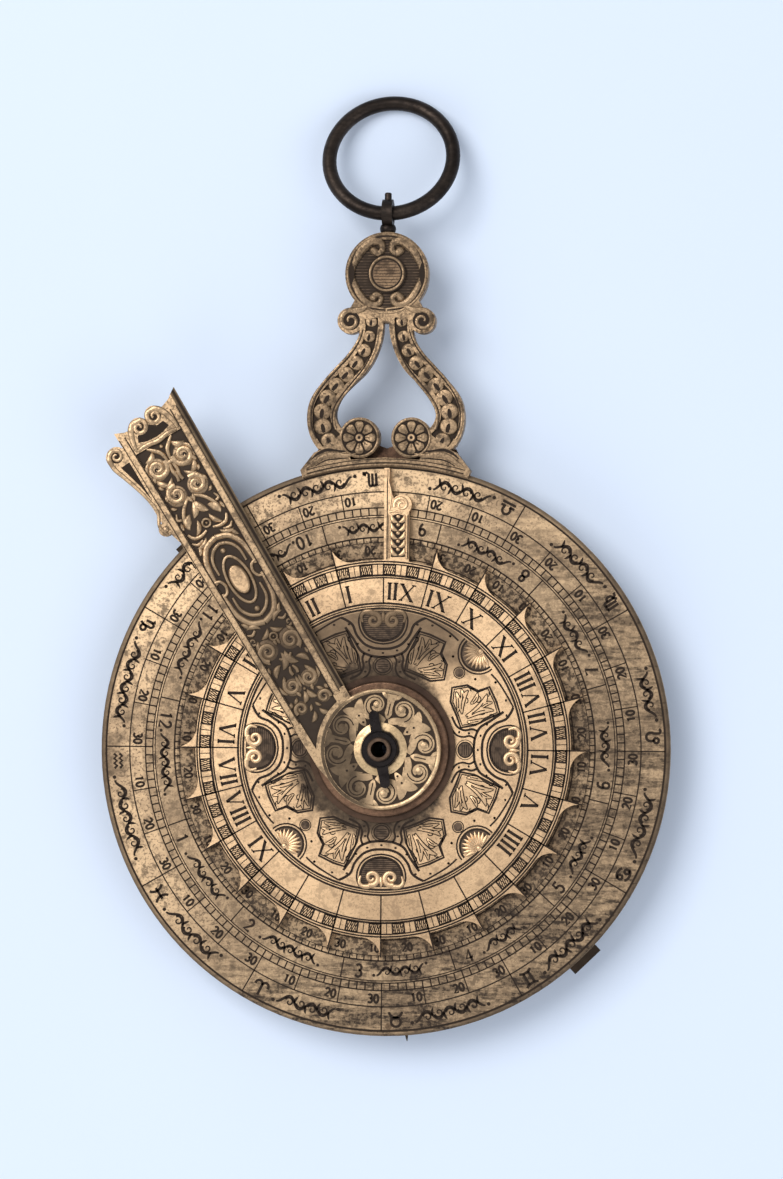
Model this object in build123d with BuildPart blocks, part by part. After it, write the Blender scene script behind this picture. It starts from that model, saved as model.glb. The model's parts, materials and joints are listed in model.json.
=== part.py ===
from build123d import *
import os
from math import asin, cos, degrees, radians, sin, sqrt

# A brass nocturnal dial, lying face up. Lengths are in millimetres.
# The origin is on the axis of the sight hole, in the plane that the back rests on.
# +Z points out of the face and +Y points at the hanging ring.

# Hollow pivot and the fits on it
sight_hole_radius = 1.08
pivot_radius = 1.6
turning_clearance = 0.04
seat_clearance = 0.02
pivot_rim_rise = 0.55
pivot_rim_chamfer = 0.15

# Base disc
disc_radius = 38.3
disc_thickness = 1.5
disc_edge_bevel = 0.2
plug_radius = 0.45
plug_inset = 1.3
plug_angle = -88.5

# Hour disc: a plate with a tooth at every hour but one, and a date tongue there
hour_count = 24
hour_radius = 25.2
hour_thickness = 1.2
tooth_length = 2.7
tooth_width = 2.284
tooth_hollow = 0.45
tongue_tip_clearance = 0.3
tongue_width = 3.35
tongue_volute_radius = 1.35
tongue_volute_inset = 4.9
tongue_tip_width = 0.7
tongue_tip_length = 2.4

# Washers between the turning plates
friction_washer_radius = 9.0
friction_washer_thickness = 0.25
rear_spacer_radius = 5.0
rear_spacer_thickness = 1.2

# Moulded ring under the hub of the long arm
collar_foot_height = 0.35
collar_foot_ledge = 0.78
collar_neck_ledge = 0.68
collar_height = 0.95

# Long arm. Its reading edge is a radius of the dial.
arm_angle = 30.5
arm_thickness = 1.0
arm_reach = 56.0
arm_root_width = 8.5
arm_end_width = 10.05
arm_root_start = 2.1
arm_hub_radius = 8.04
arm_bevel_width = 0.8
arm_bevel_depth = 0.6
arm_moulding_width = 1.9
arm_strip_width = 1.1
arm_panel_depth = 0.3
crest_height = 2.0
crest_panel_inset = 5.4
crest_volute_radius = 1.3
crest_spike_width = 1.3
crest_dip = 1.1
wing_volute_inset = 4.4
wing_volute_rise = 1.35
wing_volute_radius = 1.45
wing_waist_inset = 13.5
wing_waist_rise = 0.75
wing_bud_inset = 16.1
wing_bud_rise = 0.75
wing_bud_radius = 0.95
wing_foot_inset = 18.6

# Oval boss on the arm
cabochon_reach = 29.1
cabochon_width = 2.4
cabochon_length = 4.2
cabochon_height = 0.62
cabochon_round = 0.28

# Round plate let into the hub, with the washer and nut above it
hub_rim_width = 0.54
rosette_thickness = 0.48
rosette_recess_depth = 0.5
dome_width = 1.95
dome_height = 0.5
dome_edge = 0.14
nut_wall = 0.8
nut_height = 0.95
nut_chamfer = 0.15
nut_lug_length = 2.8
nut_lug_root_width = 1.75
nut_lug_tip_width = 1.3
nut_lug_thickness = 0.55
nut_lug_angle = 10

# Pointed hand on the back
hand_thickness = 0.7
hand_hub_radius = 5.5
hand_overhang = 1.0
hand_angle = -85.4
hand_root_width = 2.6
hand_neck_width = 1.0
hand_blade_length = 9.3
hand_blade_width = 2.4
hand_point_length = 5.3
hand_tail_reach = 12.0
hand_tail_radius = 2.4

# Sighting rule on the back, with two vanes that stand off it
rule_thickness = 0.9
rule_hub_radius = 6.0
rule_overhang = 1.0
rule_angle = -46
rule_waist_width = 3.2
rule_waist_reach = 12.0
rule_width = 4.6
rule_end_length = 9.3
vane_height = 3.0
vane_width = 4.0
vane_thickness = 0.8
vane_foot_length = 3.0
vane_foot_thickness = 0.6
vane_inset = 4.3
vane_hole_radius = 0.4
vane_hole_height = 1.5
vane_rivet_radius = 0.45
vane_rivet_head_radius = 0.8
vane_rivet_head_height = 0.35

# Turned boss that closes the pivot at the back, with a shallow eye cup
boss_foot_ledge = 0.6
boss_waist_ledge = 1.4
boss_foot_height = 0.7
boss_top_height = 0.8
eye_cup_width = 0.98
eye_cup_depth = 0.8

# Lyre handle
handle_thickness = 2.2
knob_radius = 5.6
knob_rise = 0.4
knob_border = 1.0
knob_field_depth = 0.4
knob_boss_wall = 0.52
knob_plug_radius = 1.93
shoulder_radius = 1.75
shoulder_offset = 4.85
shoulder_drop = 0.3
neck_half_width = 4.2
neck_drop = 0.6
limb_length = 17.5
limb_gap = 0.82
limb_border = 0.72
limb_channel_depth = 0.35
flower_radius = 2.72
flower_offset = 3.5
flower_rise = 2.65
foot_half_angle = 17.1
foot_rail_rise = 0.65
foot_lip = 0.5
foot_crest_rise = 1.8
rivet_radius = 0.5
rivet_head_radius = 0.75
rivet_head_height = 0.3

# Plate behind the foot of the handle
throne_thickness = 0.7
throne_lobe_inset = 0.42
throne_depth = 8.8
throne_shoulder = 1.9
screw_inset = 4.1
screw_spacing = 6.0
screw_radius = 0.5
screw_head_radius = 1.0
screw_slot_width = 0.25
screw_slot_depth = 0.2
screw_bite = 1.0

# Swivel and hanging ring
ring_radius = 8.4
ring_wire_radius = 0.965
eye_slack = 0.19
eye_wall = 0.72
eye_thickness = 1.4
eye_rise = 2.6
finial_radius = 0.47
finial_rise = 0.925
stem_radius = 0.95
stem_bead_radius = 1.05
shank_radius = 0.45
shank_clearance = 0.05
burr_radius = 0.6
burr_thickness = 0.4
cavity_half_height = 0.7
stem_gap = 0.06

# Levels, from the rest plane up
rule_back = vane_height
hand_back = rule_back + rule_thickness
spacer_back = hand_back + hand_thickness
disc_back = spacer_back + rear_spacer_thickness
disc_front = disc_back + disc_thickness
hour_back = disc_front + friction_washer_thickness
hour_front = hour_back + hour_thickness
arm_back = hour_front + collar_height
arm_front = arm_back + arm_thickness
rosette_back = arm_front - rosette_recess_depth
dome_back = rosette_back + rosette_thickness
nut_back = dome_back + dome_height
nut_front = nut_back + nut_height
pivot_top = nut_front + pivot_rim_rise
handle_front = disc_back + handle_thickness
swivel_level = disc_back + handle_thickness / 2
throne_back = disc_back - throne_thickness

# Radii round the pivot: bores that turn on it, bores that sit on it, and the hub above them
turning_bore = pivot_radius + turning_clearance
seated_bore = pivot_radius + seat_clearance
dome_radius = pivot_radius + dome_width
nut_radius = pivot_radius + nut_wall
nut_lug_reach = nut_radius + nut_lug_length
rosette_radius = arm_hub_radius - hub_rim_width
collar_neck_radius = arm_hub_radius + collar_neck_ledge
collar_bead = collar_height - collar_foot_height
collar_foot_radius = collar_neck_radius + collar_bead / 2 + collar_foot_ledge
eye_cup_radius = seated_bore + eye_cup_width

# Reaches from the pivot that follow the rim of the disc
tooth_tip_radius = hour_radius + tooth_length
foot_lip_radius = disc_radius - foot_lip
foot_rail_radius = disc_radius + foot_rail_rise
tongue_reach = foot_lip_radius - tongue_tip_clearance
tongue_volute_reach = tongue_reach - tongue_volute_inset
tongue_shoulder = tongue_volute_reach - tongue_volute_radius + 0.35
tongue_tip_start = tongue_reach - tongue_tip_length
hand_reach = disc_radius + hand_overhang
rule_reach = disc_radius + rule_overhang
vane_reach = rule_reach - vane_inset
rivet_reach = vane_reach - vane_foot_length / 2

# Reaches along the long arm
arm_end_start = arm_reach - crest_height
arm_panel_end = arm_reach - crest_panel_inset
wing_volute_reach = arm_reach - wing_volute_inset
wing_waist_reach = arm_reach - wing_waist_inset
wing_bud_reach = arm_reach - wing_bud_inset
wing_foot_reach = arm_reach - wing_foot_inset

# Heights up the handle, each on the one below
flower_height = foot_rail_radius + flower_rise
limb_foot = disc_radius + foot_crest_rise
limb_top = limb_foot + limb_length
knob_height = limb_top + knob_radius + knob_rise
shoulder_height = limb_top - shoulder_drop
knob_top = knob_height + knob_radius
eye_height = knob_top + eye_rise
eye_hole_radius = ring_wire_radius + eye_slack
eye_radius = eye_hole_radius + eye_wall
finial_top = eye_height + eye_radius + finial_rise
burr_top = knob_height + knob_plug_radius - 2 * stem_gap

# Rest angle of the ring, which leans back until it touches the rest plane
ring_lean = degrees(asin((swivel_level - ring_wire_radius) / (2 * ring_radius)))

# Places of the fastenings behind the foot of the handle
screw_height = disc_radius - screw_inset
screw_places = [
    (-screw_spacing, screw_height),
    (screw_spacing, screw_height),
    (0, screw_height - 0.3 * screw_spacing),
]
flower_places = [(-flower_offset, flower_height), (flower_offset, flower_height)]


def on_circle(radius, angle):
    """Point on a circle round the pivot, with the angle in degrees from +X."""
    return (radius * cos(radians(angle)), radius * sin(radians(angle)))


def level_plane(level, angle):
    """Plane at a level whose X runs outwards from the pivot at an angle from +X."""
    x, y = on_circle(1, angle)
    return Plane(origin=(0, 0, level), x_dir=(x, y, 0), z_dir=(0, 0, 1))


def moved_aside(points, distance):
    """A row of points, each moved to the left of the row's course by a distance."""
    moved = []
    for index, point in enumerate(points):
        before = points[max(index - 1, 0)]
        after = points[min(index + 1, len(points) - 1)]
        course = Vector(after[0] - before[0], after[1] - before[1]).normalized()
        moved.append((point[0] - distance * course.Y, point[1] + distance * course.X))
    return moved


os.makedirs("parts", exist_ok=True)

# Hollow pivot
with BuildPart() as pivot_tube:
    with BuildSketch():
        Circle(pivot_radius)
        Circle(sight_hole_radius, mode=Mode.SUBTRACT)
    extrude(amount=pivot_top)
    chamfer(
        pivot_tube.edges().filter_by(GeomType.CIRCLE).group_by(Axis.Z)[-1].sort_by(SortBy.RADIUS)[-1],
        length=pivot_rim_chamfer,
    )
pivot_tube.part.label = "pivot_tube"
export_step(pivot_tube.part, "parts/pivot_tube.step")

# Base disc, with the holes for the throne screws and for a small plug near the rim
with BuildPart() as base_disc:
    with BuildSketch(Plane.XY.offset(disc_back)):
        Circle(disc_radius)
        Circle(seated_bore, mode=Mode.SUBTRACT)
        with Locations(on_circle(disc_radius - plug_inset, plug_angle)):
            Circle(plug_radius, mode=Mode.SUBTRACT)
    extrude(amount=disc_thickness)
    chamfer(
        base_disc.edges().filter_by(GeomType.CIRCLE).group_by(Axis.Z)[-1].sort_by(SortBy.RADIUS)[-1],
        length=disc_edge_bevel,
    )
    with BuildSketch(Plane.XY.offset(disc_back)):
        with Locations(*screw_places):
            Circle(screw_radius)
    extrude(amount=screw_bite, mode=Mode.SUBTRACT)
base_disc.part.label = "base_disc"
export_step(base_disc.part, "parts/base_disc.step")

# Plug of an old hole near the rim
with BuildPart() as rim_plug:
    with BuildSketch(Plane.XY.offset(disc_back)):
        with Locations(on_circle(disc_radius - plug_inset, plug_angle)):
            Circle(plug_radius)
    extrude(amount=disc_thickness)
rim_plug.part.label = "rim_plug"
export_step(rim_plug.part, "parts/rim_plug.step")

# Thin washer between the base disc and the hour disc
with BuildPart() as friction_washer:
    with BuildSketch(Plane.XY.offset(disc_front)):
        Circle(friction_washer_radius)
        Circle(seated_bore, mode=Mode.SUBTRACT)
    extrude(amount=friction_washer_thickness)
friction_washer.part.label = "friction_washer"
export_step(friction_washer.part, "parts/friction_washer.step")

# One hour tooth, with its straight edge on +Y and its slope on the clockwise side
tooth_foot = (tooth_width, sqrt(hour_radius**2 - tooth_width**2))
tooth_slope_middle = (
    tooth_foot[0] / 2 - tooth_hollow,
    (tooth_foot[1] + tooth_tip_radius) / 2 - tooth_hollow,
)
with BuildSketch() as tooth:
    with BuildLine():
        Polyline(tooth_foot, (0, hour_radius - tooth_hollow), (0, tooth_tip_radius))
        ThreePointArc((0, tooth_tip_radius), tooth_slope_middle, tooth_foot)
    make_face()

# Date tongue, with its straight edge on +Y and a volute between its broad and narrow parts
with BuildSketch() as tongue:
    with BuildLine():
        Polyline((tongue_width, tongue_shoulder), (tongue_width, 0.9 * hour_radius), (0, 0.9 * hour_radius))
        Polyline((0, 0.9 * hour_radius), (0, tongue_reach), (tongue_tip_width, tongue_reach))
        Line((tongue_tip_width, tongue_reach), (tongue_tip_width, tongue_tip_start))
        ThreePointArc(
            (tongue_tip_width, tongue_tip_start),
            (0.36 * tongue_width, (tongue_tip_start + tongue_shoulder) / 2 + 0.3),
            (0.6 * tongue_width, tongue_shoulder),
        )
        Line((0.6 * tongue_width, tongue_shoulder), (tongue_width, tongue_shoulder))
    make_face()
    with Locations((tongue_width - tongue_volute_radius + 0.35, tongue_volute_reach)):
        Circle(tongue_volute_radius)

# Hour disc
hour_step = 360 / hour_count
with BuildPart() as hour_disc:
    with BuildSketch(Plane.XY.offset(hour_back)):
        Circle(hour_radius)
        with PolarLocations(0, hour_count - 1, hour_step, 360 - 2 * hour_step, endpoint=True):
            add(tooth.sketch)
        add(tongue.sketch)
        Circle(turning_bore, mode=Mode.SUBTRACT)
    extrude(amount=hour_thickness)
hour_disc.part.label = "hour_disc"
export_step(hour_disc.part, "parts/hour_disc.step")

# Moulded ring under the hub of the arm, with a half round bead over a flat foot
with BuildPart() as hub_collar:
    with BuildSketch(Plane.XZ):
        with BuildLine():
            Polyline(
                (collar_neck_radius, hour_front + collar_foot_height),
                (collar_foot_radius, hour_front + collar_foot_height),
                (collar_foot_radius, hour_front),
                (turning_bore, hour_front),
                (turning_bore, arm_back),
                (collar_neck_radius, arm_back),
            )
            ThreePointArc(
                (collar_neck_radius, arm_back),
                (collar_neck_radius + collar_bead / 2, arm_back - collar_bead / 2),
                (collar_neck_radius, hour_front + collar_foot_height),
            )
        make_face()
    revolve(axis=Axis.Z)
hub_collar.part.label = "hub_collar"
export_step(hub_collar.part, "parts/hub_collar.step")


def arm_left(reach):
    """Width of the arm, from its reading edge to its far edge, at a reach from the pivot."""
    share = (reach - arm_root_start) / (arm_end_start - arm_root_start)
    return arm_root_width + share * (arm_end_width - arm_root_width)


# Outline of the long arm: X runs along its reading edge and Y across it
arm_end_left = arm_left(arm_end_start)
crest_middle = (arm_moulding_width + arm_end_left - arm_strip_width) / 2
wing_volute_place = (wing_volute_reach, arm_left(wing_volute_reach) + wing_volute_rise)
wing_bud_place = (wing_bud_reach, arm_left(wing_bud_reach) + wing_bud_rise)
with BuildSketch() as arm_outline:
    Circle(arm_hub_radius)
    with BuildLine():
        Polyline(
            (0, 0),
            (arm_reach, 0),
            (arm_reach - crest_dip, crest_spike_width),
            (arm_end_start - crest_dip / 2, crest_middle),
            (arm_end_start, arm_end_left - crest_spike_width),
            (arm_end_start + crest_dip / 2, arm_end_left),
            (arm_root_start, arm_root_width),
            (0, arm_hub_radius),
            (0, 0),
        )
    make_face()
    with Locations(
        (arm_end_start, crest_middle - crest_volute_radius),
        (arm_end_start - crest_dip / 3, crest_middle + crest_volute_radius),
    ):
        Circle(crest_volute_radius)
    with BuildLine():
        Spline(
            (wing_volute_reach, wing_volute_place[1] + wing_volute_radius),
            ((wing_volute_reach + wing_waist_reach) / 2 + 0.6, arm_left(wing_waist_reach) + 1.95),
            (wing_waist_reach, arm_left(wing_waist_reach) + wing_waist_rise),
            tangents=((-1, -0.15), (-1, 0)),
        )
        Polyline(
            (wing_waist_reach, arm_left(wing_waist_reach) + wing_waist_rise),
            (wing_bud_reach, wing_bud_place[1]),
            (wing_foot_reach, arm_left(wing_foot_reach)),
            (wing_foot_reach, arm_left(wing_foot_reach) - arm_strip_width),
            (wing_volute_reach, arm_left(wing_volute_reach) - arm_strip_width),
            (wing_volute_reach, wing_volute_place[1] + wing_volute_radius),
        )
    make_face()
    with Locations(wing_volute_place):
        Circle(wing_volute_radius)
    with Locations(wing_bud_place):
        Circle(wing_bud_radius)
    Circle(turning_bore, mode=Mode.SUBTRACT)

# Sunk field of the arm, between its plain strip and its mouldings
with BuildSketch() as arm_field:
    with BuildLine():
        Polyline(
            (0, arm_moulding_width),
            (arm_panel_end, arm_moulding_width),
            (arm_panel_end, arm_left(arm_panel_end) - arm_strip_width),
            (0, arm_left(0) - arm_strip_width),
            (0, arm_moulding_width),
        )
    make_face()
    Circle(arm_hub_radius + arm_strip_width / 2, mode=Mode.SUBTRACT)

# Long arm
with BuildPart() as index_arm:
    with BuildSketch(level_plane(arm_back, 90 + arm_angle)):
        add(arm_outline.sketch)
    extrude(amount=arm_thickness)
    with BuildSketch(level_plane(arm_front, 90 + arm_angle)):
        add(arm_field.sketch)
    extrude(amount=-arm_panel_depth, mode=Mode.SUBTRACT)
    with BuildSketch(Plane.XY.offset(arm_front)):
        Circle(rosette_radius)
    extrude(amount=-rosette_recess_depth, mode=Mode.SUBTRACT)
    reading_edge = Plane(
        origin=(*on_circle(collar_foot_radius, 90 + arm_angle), arm_front),
        x_dir=(*on_circle(1, 180 + arm_angle), 0),
        z_dir=(*on_circle(1, 90 + arm_angle), 0),
    )
    with BuildSketch(reading_edge):
        with BuildLine():
            Polyline((0, 0), (arm_bevel_width, 0), (0, -arm_bevel_depth), (0, 0))
        make_face()
    extrude(amount=arm_reach, mode=Mode.SUBTRACT)
index_arm.part.label = "index_arm"
export_step(index_arm.part, "parts/index_arm.step")

# Oval boss in the field of the arm
with BuildPart() as arm_cabochon:
    with BuildSketch(level_plane(arm_front - arm_panel_depth, 90 + arm_angle)):
        with Locations((cabochon_reach, (arm_moulding_width + arm_left(cabochon_reach) - arm_strip_width) / 2)):
            Ellipse(cabochon_length / 2, cabochon_width / 2)
    extrude(amount=cabochon_height)
    fillet(arm_cabochon.edges().group_by(Axis.Z)[-1], radius=cabochon_round)
arm_cabochon.part.label = "arm_cabochon"
export_step(arm_cabochon.part, "parts/arm_cabochon.step")

# Round plate let into the hub of the arm
with BuildPart() as hub_rosette:
    with BuildSketch(Plane.XY.offset(rosette_back)):
        Circle(rosette_radius - seat_clearance)
        Circle(turning_bore, mode=Mode.SUBTRACT)
    extrude(amount=rosette_thickness)
hub_rosette.part.label = "hub_rosette"
export_step(hub_rosette.part, "parts/hub_rosette.step")

# Domed washer, hollow underneath
with BuildPart() as domed_washer:
    with BuildSketch(Plane.XZ):
        with BuildLine():
            Polyline(
                (seated_bore, nut_back),
                (seated_bore, nut_back - dome_height / 2),
                (dome_radius - dome_edge, dome_back),
                (dome_radius, dome_back),
                (dome_radius, dome_back + dome_edge),
            )
            ThreePointArc(
                (dome_radius, dome_back + dome_edge),
                (nut_radius + dome_edge, nut_back - dome_edge),
                (seated_bore, nut_back),
            )
        make_face()
    revolve(axis=Axis.Z)
domed_washer.part.label = "domed_washer"
export_step(domed_washer.part, "parts/domed_washer.step")

# Nut with two lugs
with BuildPart() as ring_nut:
    with BuildSketch(Plane.XY.offset(nut_back)):
        Circle(nut_radius)
    extrude(amount=nut_height)
    chamfer(ring_nut.edges().group_by(Axis.Z)[-1], length=nut_chamfer)
    with BuildSketch(level_plane(nut_back + (nut_height - nut_lug_thickness) / 2, 90 + nut_lug_angle)):
        with BuildLine():
            Polyline(
                (0, nut_lug_root_width / 2),
                (nut_lug_reach - nut_lug_tip_width / 2, nut_lug_tip_width / 2),
            )
            ThreePointArc(
                (nut_lug_reach - nut_lug_tip_width / 2, nut_lug_tip_width / 2),
                (nut_lug_reach, 0),
                (nut_lug_reach - nut_lug_tip_width / 2, -nut_lug_tip_width / 2),
            )
            Polyline(
                (nut_lug_reach - nut_lug_tip_width / 2, -nut_lug_tip_width / 2),
                (0, -nut_lug_root_width / 2),
                (0, nut_lug_root_width / 2),
            )
        make_face()
        mirror(about=Plane.YZ)
    extrude(amount=nut_lug_thickness)
    with BuildSketch(Plane.XY.offset(nut_back)):
        Circle(seated_bore)
    extrude(amount=nut_height, mode=Mode.SUBTRACT)
ring_nut.part.label = "ring_nut"
export_step(ring_nut.part, "parts/ring_nut.step")

# Spacer that keeps the rear hands clear of the throne plate
with BuildPart() as rear_spacer:
    with BuildSketch(Plane.XY.offset(spacer_back)):
        Circle(rear_spacer_radius)
        Circle(seated_bore, mode=Mode.SUBTRACT)
    extrude(amount=rear_spacer_thickness)
rear_spacer.part.label = "rear_spacer"
export_step(rear_spacer.part, "parts/rear_spacer.step")

# Pointed hand on the back
with BuildPart() as rear_index:
    with BuildSketch(level_plane(hand_back, hand_angle)):
        with BuildLine():
            Polyline(
                (0, hand_root_width / 2),
                (hand_reach - hand_blade_length, hand_neck_width / 2),
                (hand_reach - hand_point_length, hand_blade_width / 2),
                (hand_reach, 0),
                (hand_reach - hand_point_length, -hand_blade_width / 2),
                (hand_reach - hand_blade_length, -hand_neck_width / 2),
                (0, -hand_root_width / 2),
                (-hand_tail_reach, -hand_neck_width / 2),
                (-hand_tail_reach, hand_neck_width / 2),
                (0, hand_root_width / 2),
            )
        make_face()
        Circle(hand_hub_radius)
        with Locations((-hand_tail_reach, 0)):
            Circle(hand_tail_radius)
        Circle(turning_bore, mode=Mode.SUBTRACT)
    extrude(amount=hand_thickness)
rear_index.part.label = "rear_index"
export_step(rear_index.part, "parts/rear_index.step")

# Sighting rule on the back
with BuildPart() as sighting_rule:
    with BuildSketch(level_plane(rule_back, rule_angle)):
        with BuildLine():
            Polyline(
                (0, rule_waist_width / 2),
                (rule_waist_reach, rule_waist_width / 2),
                (rule_reach - rule_end_length, rule_width / 2),
                (rule_reach, rule_width / 2),
                (rule_reach, -rule_width / 2),
                (rule_reach - rule_end_length, -rule_width / 2),
                (rule_waist_reach, -rule_waist_width / 2),
                (0, -rule_waist_width / 2),
                (0, rule_waist_width / 2),
            )
        make_face()
        mirror(about=Plane.YZ)
        Circle(rule_hub_radius)
        Circle(turning_bore, mode=Mode.SUBTRACT)
        with Locations((rivet_reach, 0), (-rivet_reach, 0)):
            Circle(vane_rivet_radius, mode=Mode.SUBTRACT)
    extrude(amount=rule_thickness)
sighting_rule.part.label = "sighting_rule"
export_step(sighting_rule.part, "parts/sighting_rule.step")

# Two sight vanes and their rivets, one of each at either end of the rule
for vane_name, rivet_name, turn in (
    ("lower_sight_vane", "lower_vane_rivet", rule_angle),
    ("upper_sight_vane", "upper_vane_rivet", rule_angle + 180),
):
    with BuildPart() as sight_vane:
        with BuildSketch(level_plane(rule_back - vane_foot_thickness, turn)):
            with Locations((rivet_reach, 0)):
                Rectangle(vane_foot_length, vane_width)
                Circle(vane_rivet_radius, mode=Mode.SUBTRACT)
        extrude(amount=vane_foot_thickness)
        with BuildSketch(level_plane(0, turn)):
            with Locations((vane_reach + vane_thickness / 2, 0)):
                Rectangle(vane_thickness, vane_width)
        extrude(amount=vane_height)
        vane_face = Plane(
            origin=(*on_circle(vane_reach, turn), vane_hole_height),
            x_dir=(*on_circle(1, turn + 90), 0),
            z_dir=(*on_circle(1, turn), 0),
        )
        with BuildSketch(vane_face):
            Circle(vane_hole_radius)
        extrude(amount=vane_thickness, mode=Mode.SUBTRACT)
    sight_vane.part.label = vane_name
    export_step(sight_vane.part, "parts/" + vane_name + ".step")

    with BuildPart() as vane_rivet:
        with BuildSketch(level_plane(rule_back - vane_foot_thickness, turn)):
            with Locations((rivet_reach, 0)):
                Circle(vane_rivet_radius)
        extrude(amount=vane_foot_thickness + rule_thickness)
        with BuildSketch(level_plane(rule_back - vane_foot_thickness, turn)):
            with Locations((rivet_reach, 0)):
                Circle(vane_rivet_head_radius)
        extrude(amount=-vane_rivet_head_height)
        fillet(vane_rivet.edges().group_by(Axis.Z)[0], radius=vane_rivet_head_height / 2)
    vane_rivet.part.label = rivet_name
    export_step(vane_rivet.part, "parts/" + rivet_name + ".step")

# Turned boss at the back of the pivot
boss_foot_radius = rule_hub_radius - boss_foot_ledge
boss_waist_radius = rule_hub_radius - boss_waist_ledge
with BuildPart() as rear_boss:
    with BuildSketch(Plane.XZ):
        with BuildLine():
            Polyline(
                (boss_waist_radius, rule_back - boss_top_height),
                (rule_hub_radius, rule_back - boss_top_height),
                (rule_hub_radius, rule_back),
                (seated_bore, rule_back),
                (seated_bore, eye_cup_depth),
                (eye_cup_radius, 0),
                (boss_foot_radius, 0),
                (boss_foot_radius, boss_foot_height),
                (boss_waist_radius, boss_foot_height),
                (boss_waist_radius, rule_back - boss_top_height),
            )
        make_face()
    revolve(axis=Axis.Z)
rear_boss.part.label = "rear_boss"
export_step(rear_boss.part, "parts/rear_boss.step")

# Left limb of the lyre. Each point is its offset from the middle and its share of the limb's length.
limb_outer_course = [(-3.6, 1), (-4.3, 0.783), (-7.5, 0.571), (-10.2, 0.371), (-10.6, 0.217), (-9.1, 0)]
limb_inner_course = [
    (-5.4, 0.131),
    (-6.75, 0.28),
    (-6.0, 0.394),
    (-2.8, 0.583),
    (-0.85, 0.794),
    (-limb_gap / 2, 1),
]
limb_outer = [(x, limb_foot + share * limb_length) for x, share in limb_outer_course]
limb_inner = [(x, limb_foot + share * limb_length) for x, share in limb_inner_course]
with BuildSketch() as limb:
    with BuildLine():
        Spline(*limb_outer)
        Polyline(limb_outer[-1], (limb_inner[0][0], limb_foot - 0.5), limb_inner[0])
        Spline(*limb_inner)
        Line(limb_inner[-1], limb_outer[0])
    make_face()

# Sunk channel of the left limb
channel_outer = moved_aside(limb_outer, limb_border)
channel_inner = moved_aside(limb_inner, limb_border)
with BuildSketch() as limb_channel:
    with BuildLine():
        Spline(*channel_outer)
        Line(channel_outer[-1], channel_inner[0])
        Spline(*channel_inner)
        Line(channel_inner[-1], channel_outer[0])
    make_face()

# Left half of the foot, which follows the rim of the disc
foot_end = 90 + foot_half_angle
foot_crest = [
    on_circle(foot_rail_radius, foot_end),
    (limb_outer[-1][0] - 0.5, limb_foot - 0.5),
    (limb_outer[-1][0] + 0.9, limb_foot + 0.1),
    (limb_inner[0][0], limb_foot - 0.1),
    (-4.6, foot_rail_radius - 0.3),
]
with BuildSketch() as half_foot:
    with BuildLine():
        ThreePointArc(
            on_circle(foot_lip_radius, 90),
            on_circle(foot_lip_radius, (90 + foot_end) / 2),
            on_circle(foot_lip_radius, foot_end),
        )
        Line(on_circle(foot_lip_radius, foot_end), foot_crest[0])
        Polyline(*foot_crest)
        Polyline(foot_crest[-1], (0, foot_rail_radius), on_circle(foot_lip_radius, 90))
    make_face()

# Lyre handle
with BuildPart() as handle:
    with BuildSketch(Plane.XY.offset(disc_back)):
        with Locations((0, knob_height)):
            Circle(knob_radius)
        with BuildLine():
            Polyline(
                (0, knob_height),
                (-neck_half_width, knob_height - 0.6 * knob_radius),
                (-shoulder_offset, shoulder_height + shoulder_radius),
                (-shoulder_offset + shoulder_radius / 2, limb_top - neck_drop),
                (0, limb_top - neck_drop),
                (0, knob_height),
            )
        make_face()
        with Locations((-shoulder_offset, shoulder_height)):
            Circle(shoulder_radius)
        with Locations((-flower_offset, flower_height)):
            Circle(flower_radius)
        add(limb.sketch)
        add(half_foot.sketch)
        mirror(about=Plane.YZ)
        with Locations(*flower_places):
            Circle(rivet_radius, mode=Mode.SUBTRACT)
    extrude(amount=handle_thickness)
    with BuildSketch(Plane.XY.offset(disc_back)):
        Circle(disc_radius + seat_clearance)
    extrude(amount=disc_thickness, mode=Mode.SUBTRACT)
    with BuildSketch(Plane.XY.offset(handle_front)):
        add(limb_channel.sketch)
        mirror(about=Plane.YZ)
        with Locations(*flower_places):
            Circle(flower_radius, mode=Mode.SUBTRACT)
    extrude(amount=-limb_channel_depth, mode=Mode.SUBTRACT)
    with BuildSketch(Plane.XY.offset(handle_front)):
        with Locations((0, knob_height)):
            Circle(knob_radius - knob_border)
            Circle(knob_plug_radius + knob_boss_wall, mode=Mode.SUBTRACT)
    extrude(amount=-knob_field_depth, mode=Mode.SUBTRACT)
    with BuildSketch(Plane.XY.offset(swivel_level - cavity_half_height)):
        with Locations((0, knob_height)):
            Circle(knob_plug_radius)
    extrude(amount=handle_thickness, mode=Mode.SUBTRACT)
    with BuildSketch(Plane(origin=(0, knob_height, swivel_level), x_dir=(1, 0, 0), z_dir=(0, 1, 0))):
        Circle(shank_radius + shank_clearance)
    extrude(amount=2 * knob_radius, mode=Mode.SUBTRACT)
handle.part.label = "handle"
export_step(handle.part, "parts/handle.step")

# Plug that closes the cavity of the knob
with BuildPart() as knob_plug:
    with BuildSketch(Plane.XY.offset(swivel_level + cavity_half_height)):
        with Locations((0, knob_height)):
            Circle(knob_plug_radius - seat_clearance)
    extrude(amount=handle_front - swivel_level - cavity_half_height)
knob_plug.part.label = "knob_plug"
export_step(knob_plug.part, "parts/knob_plug.step")

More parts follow.
